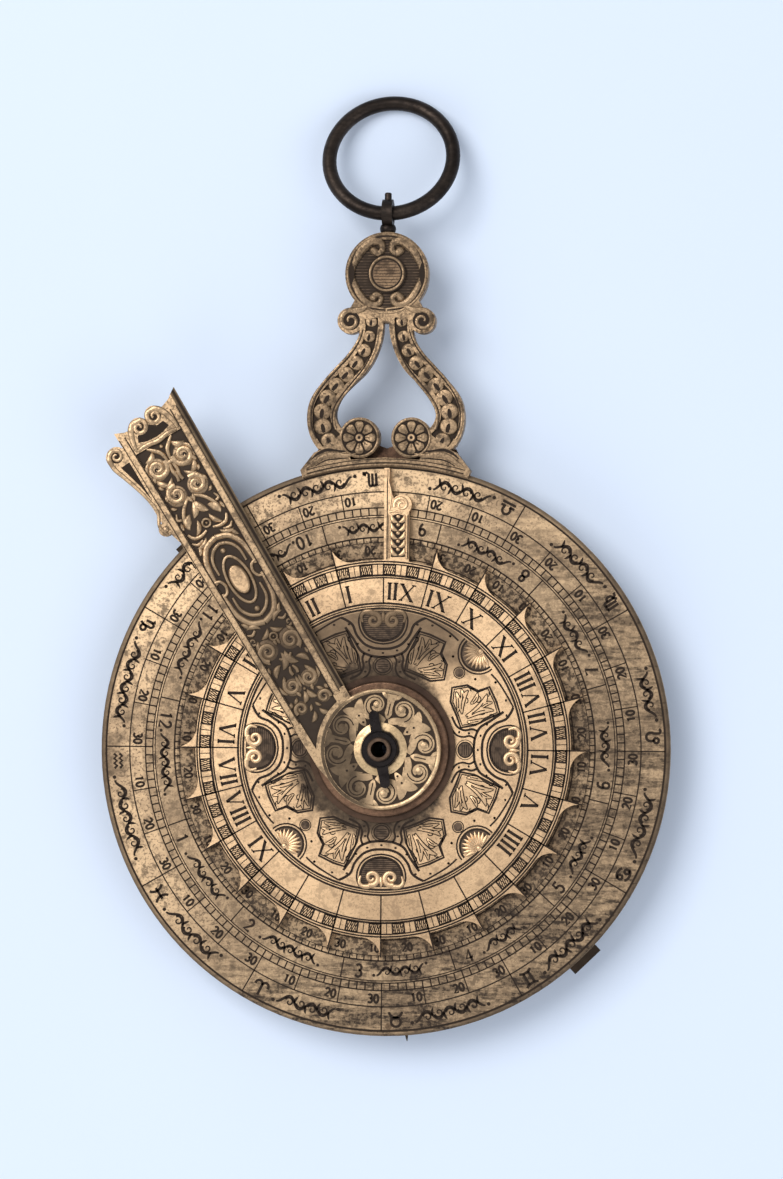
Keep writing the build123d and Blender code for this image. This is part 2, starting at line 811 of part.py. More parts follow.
# Plate behind the foot of the handle and the edge of the disc
throne_bottom = disc_radius - throne_depth
throne_left = [
    (0, throne_bottom),
    (-7.5, throne_bottom + 1.5),
    (-10.1, disc_radius + 0.3),
    (-9.3, disc_radius + throne_shoulder),
    (-6.5, disc_radius + 1.3),
    (-flower_offset, flower_height),
]
with BuildPart() as throne_plate:
    with BuildSketch(Plane.XY.offset(throne_back)):
        with BuildLine():
            Polyline(*throne_left, (0, disc_radius + throne_shoulder + 0.1), throne_left[0])
        make_face()
        with Locations((-flower_offset, flower_height)):
            Circle(flower_radius - throne_lobe_inset)
        mirror(about=Plane.YZ)
        with Locations(*flower_places):
            Circle(rivet_radius, mode=Mode.SUBTRACT)
    extrude(amount=throne_thickness)
    with Locations(Plane(origin=(0, 0, throne_back), z_dir=(0, 0, -1), x_dir=(1, 0, 0))):
        with Locations(*[(x, -y) for x, y in screw_places]):
            CounterSinkHole(screw_radius, screw_head_radius, throne_thickness, 90)
throne_plate.part.label = "throne_plate"
export_step(throne_plate.part, "parts/throne_plate.step")

# Countersunk screws that hold the plate to the disc
with BuildPart() as throne_screws:
    with BuildSketch(Plane.XY.offset(throne_back)):
        with Locations(*screw_places):
            Circle(screw_radius)
    extrude(amount=throne_thickness + screw_bite)
    with BuildSketch(Plane.XY.offset(throne_back)):
        with Locations(*screw_places):
            Circle(screw_head_radius)
    extrude(amount=screw_head_radius - screw_radius, taper=45)
    with BuildSketch(Plane.XY.offset(throne_back)):
        with Locations(*screw_places):
            Rectangle(2 * screw_head_radius, screw_slot_width)
    extrude(amount=screw_slot_depth, mode=Mode.SUBTRACT)
throne_screws.part.label = "throne_screws"
export_step(throne_screws.part, "parts/throne_screws.step")

# Rivets through the flowers and the plate behind them
with BuildPart() as handle_rivets:
    with BuildSketch(Plane.XY.offset(throne_back)):
        with Locations(*flower_places):
            Circle(rivet_radius)
    extrude(amount=throne_thickness + handle_thickness)
    with BuildSketch(Plane.XY.offset(handle_front)):
        with Locations(*flower_places):
            Circle(rivet_head_radius)
    extrude(amount=rivet_head_height)
    fillet(handle_rivets.edges().group_by(Axis.Z)[-1], radius=rivet_head_height / 2)
handle_rivets.part.label = "handle_rivets"
export_step(handle_rivets.part, "parts/handle_rivets.step")

# Swivel with the eye that holds the ring
swivel_axis = Axis((0, 0, swivel_level), (0, 1, 0))
with BuildPart() as swivel_shackle:
    with BuildSketch(Plane(origin=(0, 0, swivel_level), x_dir=(1, 0, 0), z_dir=(0, 0, 1))):
        with BuildLine():
            Polyline(
                (0, burr_top - burr_thickness),
                (burr_radius, burr_top - burr_thickness),
                (burr_radius, burr_top),
                (shank_radius, burr_top),
                (shank_radius, knob_top + stem_gap),
                (stem_radius, knob_top + stem_gap),
            )
            ThreePointArc(
                (stem_radius, knob_top + stem_gap),
                (stem_bead_radius, (knob_top + stem_gap + eye_height - eye_hole_radius) / 2),
                (eye_thickness / 2, eye_height - eye_hole_radius - eye_wall / 3),
            )
            Polyline(
                (eye_thickness / 2, eye_height - eye_hole_radius - eye_wall / 3),
                (0, eye_height - eye_hole_radius - eye_wall / 3),
                (0, burr_top - burr_thickness),
            )
        make_face()
    revolve(axis=swivel_axis)
    with BuildSketch(Plane(origin=(-eye_thickness / 2, 0, 0), x_dir=(0, 1, 0), z_dir=(1, 0, 0))):
        with Locations((eye_height, swivel_level)):
            Circle(eye_radius)
    extrude(amount=eye_thickness)
    with BuildSketch(Plane(origin=(0, eye_height, swivel_level), x_dir=(1, 0, 0), z_dir=(0, 1, 0))):
        Circle(finial_radius)
    extrude(amount=finial_top - eye_height)
    fillet(swivel_shackle.edges().group_by(Axis.Y)[-1], radius=finial_radius / 2)
    with BuildSketch(Plane(origin=(-eye_radius, 0, 0), x_dir=(0, 1, 0), z_dir=(1, 0, 0))):
        with Locations((eye_height, swivel_level)):
            Circle(eye_hole_radius)
    extrude(amount=2 * eye_radius, mode=Mode.SUBTRACT)
swivel_shackle.part.label = "swivel_shackle"
export_step(swivel_shackle.part, "parts/swivel_shackle.step")

# Hanging ring, which leans back from the eye to the rest plane
ring_plane = Plane(
    origin=(0, eye_height, swivel_level),
    x_dir=(1, 0, 0),
    z_dir=(0, sin(radians(ring_lean)), cos(radians(ring_lean))),
)
with BuildPart() as suspension_ring:
    with BuildSketch(Plane(origin=ring_plane.origin, x_dir=ring_plane.y_dir, z_dir=ring_plane.x_dir)):
        Circle(ring_wire_radius)
    revolve(axis=Axis(ring_plane.from_local_coords((0, ring_radius, 0)), ring_plane.z_dir))
suspension_ring.part.label = "suspension_ring"
export_step(suspension_ring.part, "parts/suspension_ring.step")
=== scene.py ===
import json
from math import atan2, cos, degrees, hypot, pi, radians, sin

import bmesh
import bpy
from mathutils import Matrix, Vector


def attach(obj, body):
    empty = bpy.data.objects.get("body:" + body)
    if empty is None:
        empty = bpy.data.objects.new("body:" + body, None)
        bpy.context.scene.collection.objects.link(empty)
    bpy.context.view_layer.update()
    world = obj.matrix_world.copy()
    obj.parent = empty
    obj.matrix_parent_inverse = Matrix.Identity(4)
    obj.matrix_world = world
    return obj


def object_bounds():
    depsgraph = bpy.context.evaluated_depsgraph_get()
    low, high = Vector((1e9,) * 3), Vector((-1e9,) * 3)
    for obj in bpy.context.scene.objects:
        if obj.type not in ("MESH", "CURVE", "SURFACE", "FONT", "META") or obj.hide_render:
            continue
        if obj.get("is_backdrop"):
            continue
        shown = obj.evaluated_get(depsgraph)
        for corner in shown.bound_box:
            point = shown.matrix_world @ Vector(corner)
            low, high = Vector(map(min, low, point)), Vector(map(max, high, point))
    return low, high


# A brass nocturnal dial, lying face up. Lengths are in millimetres until a mesh is made.
# The pivot stands at the origin and the hanging ring lies towards +Y.
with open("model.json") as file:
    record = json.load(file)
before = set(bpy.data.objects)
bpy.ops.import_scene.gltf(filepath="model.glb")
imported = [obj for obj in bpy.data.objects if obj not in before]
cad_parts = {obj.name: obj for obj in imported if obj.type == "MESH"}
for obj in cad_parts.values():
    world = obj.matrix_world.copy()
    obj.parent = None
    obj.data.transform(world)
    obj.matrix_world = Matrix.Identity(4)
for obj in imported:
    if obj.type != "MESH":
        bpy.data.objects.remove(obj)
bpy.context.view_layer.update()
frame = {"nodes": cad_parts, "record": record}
MM = 0.001

# Levels of the faces that carry work
DISC = 7.3
DISC_BACK = 5.8
HOUR = 8.75
ARM = 10.7
ARM_FIELD = 10.4
ROSETTE = 10.68
HANDLE = 8.0
CHANNEL = 7.65
KNOB_FIELD = 7.6
RULE_BACK = 3.0
HAND_BACK = 3.9
FLOOR = -0.05

# Directions, in degrees counterclockwise from +X, and centres of round work
ARM_TURN = 120.5
RULE_TURN = -46
HAND_TURN = -85.4
ROSETTE_TURN = -12
KNOB_Y = 63.6
FLOWER = (3.5, 41.6)


class Wire:
    """A socket of a node tree. Sums, products and powers of wires add Math nodes."""

    def __init__(self, work, socket):
        self.work = work
        self.socket = socket

    def math(self, operation, *values):
        return self.work.node("ShaderNodeMath", {"operation": operation}, dict(enumerate(values)))

    def __add__(self, other):
        return self.math("ADD", self, other)

    def __radd__(self, other):
        return self.math("ADD", other, self)

    def __sub__(self, other):
        return self.math("SUBTRACT", self, other)

    def __rsub__(self, other):
        return self.math("SUBTRACT", other, self)

    def __mul__(self, other):
        return self.math("MULTIPLY", self, other)

    def __rmul__(self, other):
        return self.math("MULTIPLY", other, self)

    def __pow__(self, other):
        return self.math("POWER", self, other)

    def other(self, name):
        """Another output of the same node."""
        return Wire(self.work, self.socket.node.outputs[name])


def ramp(wire, low, high):
    """0 below low, 1 above high and a smooth rise between them."""
    sockets = {"Value": wire, "From Min": low, "From Max": high}
    return wire.work.node("ShaderNodeMapRange", {"interpolation_type": "SMOOTHSTEP"}, sockets)


def most(first, *others):
    """The largest of some values."""
    for other in others:
        first = first.math("MAXIMUM", first, other)
    return first


class Work:
    """A node tree, built one node at a time."""

    def __init__(self, tree):
        self.tree = tree

    def node(self, kind, settings=None, sockets=None, output=0):
        made = self.tree.nodes.new(kind)
        for key, value in (settings or {}).items():
            setattr(made, key, value)
        for key, value in (sockets or {}).items():
            if isinstance(value, Wire):
                self.tree.links.new(value.socket, made.inputs[key])
            else:
                made.inputs[key].default_value = value
        return Wire(self, made.outputs[output])


class Finish(Work):
    """A material of the dial. Its place is in millimetres on the object."""

    def __init__(self, name, **fixed):
        self.material = bpy.data.materials.new(name)
        self.material.use_nodes = True
        super().__init__(self.material.node_tree)
        self.tree.nodes.clear()
        self.shader = self.tree.nodes.new("ShaderNodeBsdfPrincipled")
        for key, value in fixed.items():
            self.shader.inputs[key.replace("_", " ")].default_value = value
        output = self.tree.nodes.new("ShaderNodeOutputMaterial")
        self.tree.links.new(self.shader.outputs[0], output.inputs["Surface"])
        metres = self.node("ShaderNodeTexCoord").other("Object")
        self.place = self.node("ShaderNodeVectorMath", {"operation": "SCALE"}, {0: metres, "Scale": 1 / MM})
        self.x = self.node("ShaderNodeSeparateXYZ", {}, {0: self.place})
        self.y = self.x.other("Y")
        self.z = self.x.other("Z")
        self.radius = (self.x * self.x + self.y * self.y) ** 0.5

    def cloud(self, scale, detail=3, rough=0.55, stretch=(1, 1, 1), turn=0, shift=0):
        """Soft noise from 0 to 1, with its scale in spots per millimetre."""
        sockets = {0: self.place, "Scale": stretch, "Rotation": (0, 0, radians(turn)), "Location": (shift,) * 3}
        course = self.node("ShaderNodeMapping", {}, sockets)
        sockets = {"Vector": course, "Scale": scale, "Detail": detail, "Roughness": rough}
        return self.node("ShaderNodeTexNoise", {}, sockets)

    def set(self, socket, value):
        self.tree.links.new(value.socket, self.shader.inputs[socket])

    def colour(self, share, first, second):
        """A colour that goes from the first to the second as the share goes from 0 to 1."""
        ends = [end if isinstance(end, Wire) else (*end, 1) for end in (first, second)]
        return self.node("ShaderNodeMix", {"data_type": "RGBA"}, {"Factor": share, 6: ends[0], 7: ends[1]}, 2)

    def relief(self, height, strength, depth):
        sockets = {"Height": height, "Strength": strength, "Distance": depth * MM}
        self.set("Normal", self.node("ShaderNodeBump", {}, sockets))


def metal(name, bright, mid, dark, floor=None, crown=None, shine=0.3, stain=0.5, shift=0.0, shade=None):
    """Old cast and gilded metal: bright on the crests, stained in the hollows and worn in soft patches."""
    at = Finish(name, Specular_IOR_Level=0.22)
    at.patch = patch = at.cloud(0.07, 4, 0.62, shift=shift)
    at.fleck = fleck = at.cloud(0.8, 6, 0.7, shift=shift + 3)
    grain = at.cloud(7, 2, 0.5)
    rub = at.cloud(0.9, 4, 0.6, stretch=(0.7, 1.5, 1), turn=35, shift=shift)
    tone = at.colour(ramp(patch * 0.7 + rub * 0.3, 0.4, 0.62), bright, mid)
    soil_and_shade = ramp(patch * 0.75 + 0.5 * fleck, 0.86 - 0.3 * stain, 1.02 - 0.12 * stain) * (0.55 + 0.4 * stain)
    speck = ramp(fleck, 0.5, 0.62) * 0.8 * stain
    pits = ramp(at.cloud(2.8, 3, 0.6, shift=shift + 7), 0.53, 0.6) * 0.8 * stain * (0.3 + patch)
    soil_and_shade = most(soil_and_shade, speck, pits)
    # Darkening from the piece's own function: dark wax, and painted shade on some pieces.
    if shade is not None:
        soil_and_shade = most(soil_and_shade, shade(at))
    if floor is not None:
        under = ramp(at.z, floor - 0.3, floor - 0.15)
        deep = (1 - ramp(at.z + (fleck - 0.5) * 0.08, floor, crown)) * under * 0.96
        soil_and_shade = most(soil_and_shade, deep)
    at.set("Base Color", at.colour(soil_and_shade, tone, dark))
    at.set("Roughness", shine + 0.3 * soil_and_shade + 0.09 * rub + 0.1 * grain)
    at.set("Metallic", 1 - 0.55 * soil_and_shade)
    at.relief(grain * 0.4 + fleck * 0.9 + rub * 0.5, 0.35, 0.03)
    return at.material


def disc_shade(at):
    """Dark wax in the day band with the painted shadow of the hour disc's teeth, painted shade down the right and the
    bottom broken by stain streaks, and a painted dark edge on the right of the rim.
    """
    crust = ramp(at.cloud(1.7, 5, 0.65), 0.42, 0.58)
    streak = ramp(at.cloud(0.5, 5, 0.7, stretch=(0.4, 2.6, 1), turn=38, shift=2), 0.42, 0.6)
    rough = at.fleck - 0.5
    # Strength of the painted shade down the right and the bottom, broken up by stain streaks.
    stain = 0.05 + 0.4 * at.fleck + 0.25 * crust + 0.4 * streak
    bottom_shade_and_stain = 0.05 + 0.42 * at.fleck + 0.3 * crust + 0.45 * streak
    return ramp(at.z, 6.8, 7.2) * most(
        # Dark wax in the day band, with the painted shadow of the hour disc's teeth.
        ramp(28.4 - at.radius + rough * 1.6, 0, 0.7) * (0.2 + 0.45 * at.fleck + 0.5 * crust),
        ramp(31.2 - at.radius + rough, 0, 0.5) * (0.05 + 0.4 * at.patch + 0.25 * crust),
        ramp(1 - (at.radius - 31.9) ** 2 + rough, 0, 1) * (0.1 + 0.5 * at.fleck),
        # Painted shade down the right side and over the bottom.
        ramp(at.x * 0.85 - at.y * 0.2 + at.patch * 30, 10, 37) * stain,
        ramp(at.x * 0.25 - at.y * 0.9 + at.patch * 20, 18, 38) * bottom_shade_and_stain,
        ramp(at.radius + rough * 1.2, 36.9, 38.2) * 0.7,
        # Painted shade on the right side of the rim bevel.
        ramp(at.radius, 37.55, 37.75) * ramp(at.x - 0.3 * at.y, 4, 26) * (0.6 + 0.4 * at.fleck),
    )


def hour_shade(at):
    """Darkening round the hub of the hour disc, mostly towards the handle and less to the right: painted shade round
    the raised hub, with dark wax.
    """
    fleck, blot = at.fleck - 0.5, at.patch - 0.5
    # Painted shade round the raised hub, mixed with wax, lighter to the right.
    reach = 14.0 - at.radius - ramp(at.x, 2, 10) * 2.6
    near = ramp(reach + fleck * 4 + blot * 3, 0, 3.0) * (0.7 + 0.45 * at.fleck)
    top = ramp(at.y * 0.9 - at.x * 0.12 + blot * 16 + fleck * 3, 7, 13) * (0.6 + 0.4 * at.fleck)
    return most(near, ramp(18.7 - at.radius, 0, 0.3) * top * 0.86) * ramp(at.z, 8.6, 8.72)


def handle_shade(at):
    """Wax round the knob of the handle and along its foot."""
    crust = ramp(at.cloud(3.2, 3, 0.6), 0.46, 0.58)
    knob = ramp(at.y + (at.patch - 0.5) * 4, 57, 60) * (0.1 + 0.6 * at.fleck + 0.45 * crust)
    knob = knob * (1 - 0.45 * ramp(at.z, 7.95, 8.12))
    foot = ramp(44.5 - at.y, 0, 1.5) * (0.02 + 0.3 * at.fleck + 0.25 * crust)
    return most(knob, foot, crust * (0.1 + 0.5 * at.fleck)) * ramp(at.z, 7.4, 7.6)


def rosette_shade(at):
    """The sunk ground of the hub plate."""
    return 0.9 + 0.1 * at.fleck


def rosette_side(at):
    """Painted shade, with some wax, over the side of the hub plate that lies away from the light."""
    return ramp((at.fleck - 0.5) * 1.5 - at.x - 0.25 * at.y, 1.8, 4.4) * (0.6 + 0.4 * at.fleck)


def washer_shade(at):
    """Painted shade on the washer round the foot of the nut."""
    return ramp(2.78 - at.radius + (at.fleck - 0.5) * 0.6, 0, 0.35)


def rivet_shade(at):
    """A dark eye, painted shade for a dimple that is not modelled, and a dark edge on the rivets of the flowers."""
    across = at.x.math("ABSOLUTE", at.x) - FLOWER[0]
    away = (across * across + (at.y - FLOWER[1]) ** 2) ** 0.5
    return most(1 - ramp(away, 0.16, 0.28), ramp(away, 0.4, 0.52))


def arm_shade(at):
    """Darker over the lower half of the arm, towards the hub."""
    low = 1 - ramp(at.radius + (at.patch - 0.5) * 14, 20, 34)
    return low * (0.15 + 0.65 * at.fleck) * ramp(at.z, 10.3, 10.36)


def end_shade(at):
    """Painted shadow, near black, on what shows past the rim, where it lies under the disc."""
    return ramp(at.radius, 36.8, 37.6) * (0.85 + 0.2 * at.fleck)


GILT = (0.52, 0.355, 0.21)
GILT_MID = (0.3, 0.2, 0.118)
HOUR_GILT = (0.74, 0.503, 0.296)
HOUR_GILT_MID = (0.53, 0.355, 0.209)
PATINA = (0.042, 0.029, 0.021)
SOOT = (0.024, 0.016, 0.012)
HOUR_MIX = {"shift": 5.0, "shade": hour_shade}
ARM_MIX = {"shift": 9.0, "shade": arm_shade}
HANDLE_MIX = {"shift": 17.0, "shade": handle_shade}

finishes = {
    "dial_brass": metal(
        "dial_gilt_brass", (0.64, 0.448, 0.269), (0.42, 0.291, 0.178), PATINA, stain=0.85, shade=disc_shade
    ),
    "hour_brass": metal("hour_gilt_brass", HOUR_GILT, HOUR_GILT_MID, PATINA, stain=0.45, **HOUR_MIX),
    "washer_brass": metal("washer_brass", GILT_MID, (0.2, 0.135, 0.08), PATINA, stain=0.6, shift=2.0),
    "collar_bronze": metal(
        "collar_red_bronze", (0.2, 0.115, 0.072), (0.1, 0.058, 0.038), (0.03, 0.018, 0.013), 9.0, 9.3
    ),
    "arm_brass": metal(
        "arm_gilt_brass", (0.47, 0.325, 0.193), (0.27, 0.184, 0.111), (0.032, 0.022, 0.017), 10.42, 10.62,
        stain=0.7, shift=9.0,
    ),
    "boss_brass": metal("boss_brass", GILT, GILT_MID, PATINA, 10.45, 10.8, shift=4.0),
    "rosette_brass": metal("rosette_gilt_brass", GILT, GILT_MID, SOOT, shift=12.0, shade=rosette_shade),
    "bright_brass": metal(
        "polished_washer_brass", (0.74, 0.53, 0.3), (0.56, 0.39, 0.22), SOOT, stain=0.4, shade=washer_shade
    ),
    "nut_steel": metal(
        "blackened_nut_steel", (0.03, 0.025, 0.024), (0.012, 0.01, 0.01), (0.006, 0.005, 0.005), shine=0.2
    ),
    "pivot_bronze": metal("pivot_bronze", (0.17, 0.11, 0.075), (0.08, 0.052, 0.036), (0.02, 0.013, 0.01), shine=0.26),
    "rear_brass": metal("rear_brass", (0.5, 0.34, 0.2), (0.34, 0.23, 0.135), PATINA, shift=21.0, shade=end_shade),
    # The vanes get a near-black brass: painted shade for where they lie under the disc.
    "vane_brass": metal("vane_brass", (0.045, 0.032, 0.025), (0.024, 0.017, 0.013), SOOT, shift=2.5),
    "plug_bronze": metal("plug_bronze", (0.21, 0.14, 0.085), (0.13, 0.085, 0.054), SOOT, shine=0.35, stain=0.6),
    "handle_brass": metal(
        "handle_gilt_brass", (0.44, 0.3, 0.178), (0.23, 0.155, 0.094), SOOT, 7.7, 7.95, stain=0.95, **HANDLE_MIX
    ),
    "throne_bronze": metal("throne_brown_bronze", (0.12, 0.068, 0.045), (0.07, 0.041, 0.028), SOOT, shift=6.0),
    "screw_steel": metal("screw_steel", (0.24, 0.21, 0.18), (0.14, 0.12, 0.1), SOOT, shift=1.0),
    "rivet_brass": metal("rivet_brass", GILT, GILT_MID, SOOT, shift=7.0, shade=rivet_shade),
    "dark_bronze": metal(
        "ring_dark_bronze", (0.062, 0.047, 0.038), (0.026, 0.02, 0.017), (0.01, 0.008, 0.007), shine=0.34
    ),
}
for subpart in frame["record"]["subparts"]:
    slots = frame["nodes"][subpart["node"]].data.materials
    slots.clear()
    slots.append(finishes[subpart["material_slot"]])


def carved(name, bright, mid, level, crest, stain, **mix):
    """The metal of raised work, which is dark at its foot and bright from its crest up."""
    return metal(name, bright, mid, SOOT, level, level + crest, stain=stain, **mix)


hour_carved = carved("hour_carving_brass", HOUR_GILT, HOUR_GILT_MID, HOUR, 0.078, 0.15, **HOUR_MIX)
arm_carved = carved("arm_carving_brass", (0.54, 0.375, 0.225), (0.34, 0.232, 0.14), ARM_FIELD, 0.18, 0.6, **ARM_MIX)
arm_disc = carved("arm_scroll_ground", (0.27, 0.185, 0.112), (0.15, 0.102, 0.064), ARM_FIELD, 0.048, 0.8, **ARM_MIX)
rosette_carved = carved(
    "rosette_carving_brass", (0.56, 0.39, 0.232), (0.4, 0.278, 0.165), ROSETTE, 0.072, 0.4,
    shift=12.0, shade=rosette_side,
)
handle_carved = carved(
    "handle_carving_brass", (0.46, 0.315, 0.19), (0.26, 0.178, 0.107), CHANNEL, 0.216, 0.9, **HANDLE_MIX
)
handle_petal = carved(
    "handle_petal_brass", (0.4, 0.275, 0.165), (0.22, 0.15, 0.09), HANDLE + 0.02, 0.12, 0.9, **HANDLE_MIX
)


def matte(name, first, second, cloud, rough, spread, clear=None, relief=True, **fixed):
    """A soft stain between two colours, with a faint relief."""
    at = Finish(name, **fixed)
    stain = at.cloud(*cloud)
    at.set("Base Color", at.colour(ramp(stain, *clear) if clear else stain, first, second))
    at.set("Roughness", rough + spread * stain)
    if relief:
        at.relief(stain, 0.3, 0.02)
    return at.material


engraved_line = matte(
    "engraved_line", (0.012, 0.008, 0.006), (0.04, 0.025, 0.016), (1.4, 4), 0.5, 0.3,
    Metallic=0.1, Specular_IOR_Level=0.15,
)
waxed_ground = matte(
    "waxed_ground", (0.05, 0.034, 0.024), (0.15, 0.1, 0.066), (1.1, 4), 0.5, 0.25, (0.35, 0.65),
    Metallic=0.5, Specular_IOR_Level=0.2,
)


# Sections of raised work, as (across, up), how far its foot goes down, and how far a line goes in and stands out
ROUND = ((-1, None), (-0.95, 0.42), (-0.6, 0.86), (0, 1), (0.6, 0.86), (0.95, 0.42), (1, None))
FLAT = ((-1, None), (-0.98, 0.7), (-0.86, 1), (0.86, 1), (0.98, 0.7), (1, None))
FOOT = 0.06
SUNK = 0.03
PROUD = 0.012


def add(name, data):
    """A new object of the scene."""
    made = bpy.data.objects.new(name, data)
    bpy.context.scene.collection.objects.link(made)
    return made


def mesh_of(name, points, edges, faces):
    """A mesh with its points given in millimetres."""
    mesh = bpy.data.meshes.new(name)
    mesh.from_pydata([Vector(point) * MM for point in points], edges, faces)
    return mesh


def face_outwards(mesh):
    """Turns the faces of a mesh outwards."""
    skin = bmesh.new()
    skin.from_mesh(mesh)
    bmesh.ops.recalc_face_normals(skin, faces=skin.faces)
    skin.to_mesh(mesh)
    skin.free()


def copying_tree(name, inputs, laid_out):
    """A tree that sets copies of a form on points, which laid_out makes, and joins them."""
    tree = bpy.data.node_groups.new(name, "GeometryNodeTree")
    tree.interface.new_socket(name="Geometry", in_out="OUTPUT", socket_type="NodeSocketGeometry")
    for label, kind in inputs.items():
        tree.interface.new_socket(name=label, in_out="INPUT", socket_type="NodeSocket" + kind)
    work = Work(tree)
    given = work.node("NodeGroupInput")
    copies = work.node("GeometryNodeInstanceOnPoints", {}, laid_out(work, given))
    solid = work.node("GeometryNodeRealizeInstances", {}, {"Geometry": copies})
    coloured = work.node("GeometryNodeSetMaterial", {}, {"Geometry": solid, "Material": given.other("Finish")})
    out = tree.nodes.new("NodeGroupOutput")
    tree.links.new(coloured.socket, out.inputs[0])
    return tree


def round_centre(work, given):
    """Points for copies round a centre, with an even step between them."""
    places = work.node("GeometryNodePoints", {}, {"Count": given.other("Copies"), "Position": given.other("Centre")})
    turn = work.node("GeometryNodeInputIndex") * given.other("Step")
    spin = work.node("ShaderNodeCombineXYZ", {}, {"Z": turn})
    return {"Points": places, "Instance": given.other("Form"), "Rotation": spin}


def along_course(work, given):
    """Points for copies along a course, which says how broad each copy is and how it is turned."""
    form = work.node("GeometryNodeObjectInfo", {}, {"Object": given.other("Form")}).other("Geometry")
    line = work.node("GeometryNodeMeshToCurve", {}, {"Mesh": given.other("Course")})
    spots = work.node("GeometryNodeCurveToPoints", {"mode": "COUNT"}, {"Curve": line, "Count": given.other("Copies")})
    size = work.node("GeometryNodeInputNamedAttribute", {"data_type": "FLOAT"}, {"Name": "breadth"})
    turn = work.node("GeometryNodeInputNamedAttribute", {"data_type": "FLOAT"}, {"Name": "turn"})
    spin = work.node("ShaderNodeCombineXYZ", {}, {"Z": turn})
    return {"Points": spots, "Instance": form, "Rotation": spin, "Scale": size}


REPEATED = copying_tree(
    "repeated_round_centre",
    {"Form": "Geometry", "Copies": "Int", "Step": "Float", "Centre": "Vector", "Finish": "Material"},
    round_centre,
)
LAID = copying_tree(
    "laid_along_course", {"Course": "Geometry", "Form": "Object", "Copies": "Int", "Finish": "Material"}, along_course
)


def settle(piece, tree, values):
    """Runs a tree on a piece and keeps its result as a plain mesh."""
    modifier = piece.modifiers.new(tree.name, "NODES")
    modifier.node_group = tree
    for item in tree.interface.items_tree:
        if item.in_out == "INPUT" and item.name in values:
            modifier[item.identifier] = values[item.name]
    bpy.context.view_layer.update()
    made = bpy.data.meshes.new_from_object(piece.evaluated_get(bpy.context.evaluated_depsgraph_get()))
    piece.modifiers.clear()
    piece.data = made


def about(angle, x, y):
    """A place turned round the pivot, in degrees counterclockwise."""
    a = radians(angle)
    return (x * cos(a) - y * sin(a), x * sin(a) + y * cos(a))


def arm(along, across):
    """Point on the long arm: along its reading edge, and across to its far edge."""
    return about(ARM_TURN, along, across)


def dial(radius, turn):
    """Point at a radius from the pivot, with the turn in degrees clockwise from the handle."""
    return (radius * sin(radians(turn)), radius * cos(radians(turn)))


def oval(x, y, along, across, parts, *half):
    """Points round an oval, with a half width at each where one is given."""
    turns = [2 * pi * k / parts for k in range(parts)]
    return [(x + along * cos(a), y + across * sin(a), *half) for a in turns]


def circle(x, y, radius, parts, *half):
    return oval(x, y, radius, radius, parts, *half)


def arc(x, y, rx, ry, start, end, parts=10):
    """Points of an oval arc, with the angles in degrees."""
    turns = [radians(start + (end - start) * k / parts) for k in range(parts + 1)]
    return [(x + rx * cos(a), y + ry * sin(a)) for a in turns]


def volute(x, y, outer, start, turns, half, inner=0.18, parts=26):
    """A scroll that winds inwards from its outer end, with (x, y, half width) at each point."""
    course = []
    for k in range(parts + 1):
        t = k / parts
        radius = outer * (1 - t) + outer * inner * t
        a = radians(start) + turns * 2 * pi * t
        course.append((x + radius * cos(a), y + radius * sin(a), half * (1 - 0.55 * t)))
    return course


def leaf(x, y, end_x, end_y, half, bend=0.0, parts=10):
    """A leaf with two points, bowed to the left by bend times its length."""
    dx, dy = end_x - x, end_y - y
    course = []
    for k in range(parts + 1):
        t = k / parts
        bow = bend * 4 * t * (1 - t)
        course.append((x + dx * t - dy * bow, y + dy * t + dx * bow, half * sin(pi * t) ** 0.8))
    return course


def smooth(course, steps=6):
    """A flowing row of points through the given ones. Every number of a point flows."""
    flowing = []
    last = len(course) - 1
    for i in range(last):
        near = (course[max(i - 1, 0)], course[i], course[i + 1], course[min(i + 2, last)])
        for t in (step / steps for step in range(steps)):
            flowing.append(
                tuple(
                    0.5 * (2 * b + (c - a) * t + (2 * a - 5 * b + 4 * c - d) * t * t + (3 * b - a - 3 * c + d) * t**3)
                    for a, b, c, d in zip(*near)
                )
            )
    return flowing + [tuple(course[last])]


def sides(course, closed=False):
    """Unit vectors to the left of a course, one for each of its points."""
    found = []
    last = len(course) - 1
    for i in range(last + 1):
        before = course[i - 1 if closed else max(i - 1, 0)]
        after = course[(i + 1) % (last + 1) if closed else min(i + 1, last)]
        dx, dy = after[0] - before[0], after[1] - before[1]
        length = hypot(dx, dy) or 1
        found.append((-dy / length, dx / length))
    return found


def placed(course, move):
    """A course with its places changed by a function of x and y, and its other numbers kept."""
    return [(*move(x, y), *rest) for x, y, *rest in course]


def facing(course, side):
    """A course, or its mirror image over the line x = 0 where side is -1."""
    return [(side * x, *rest) for x, *rest in course]


def both(course):
    return facing(course, 1), facing(course, -1)


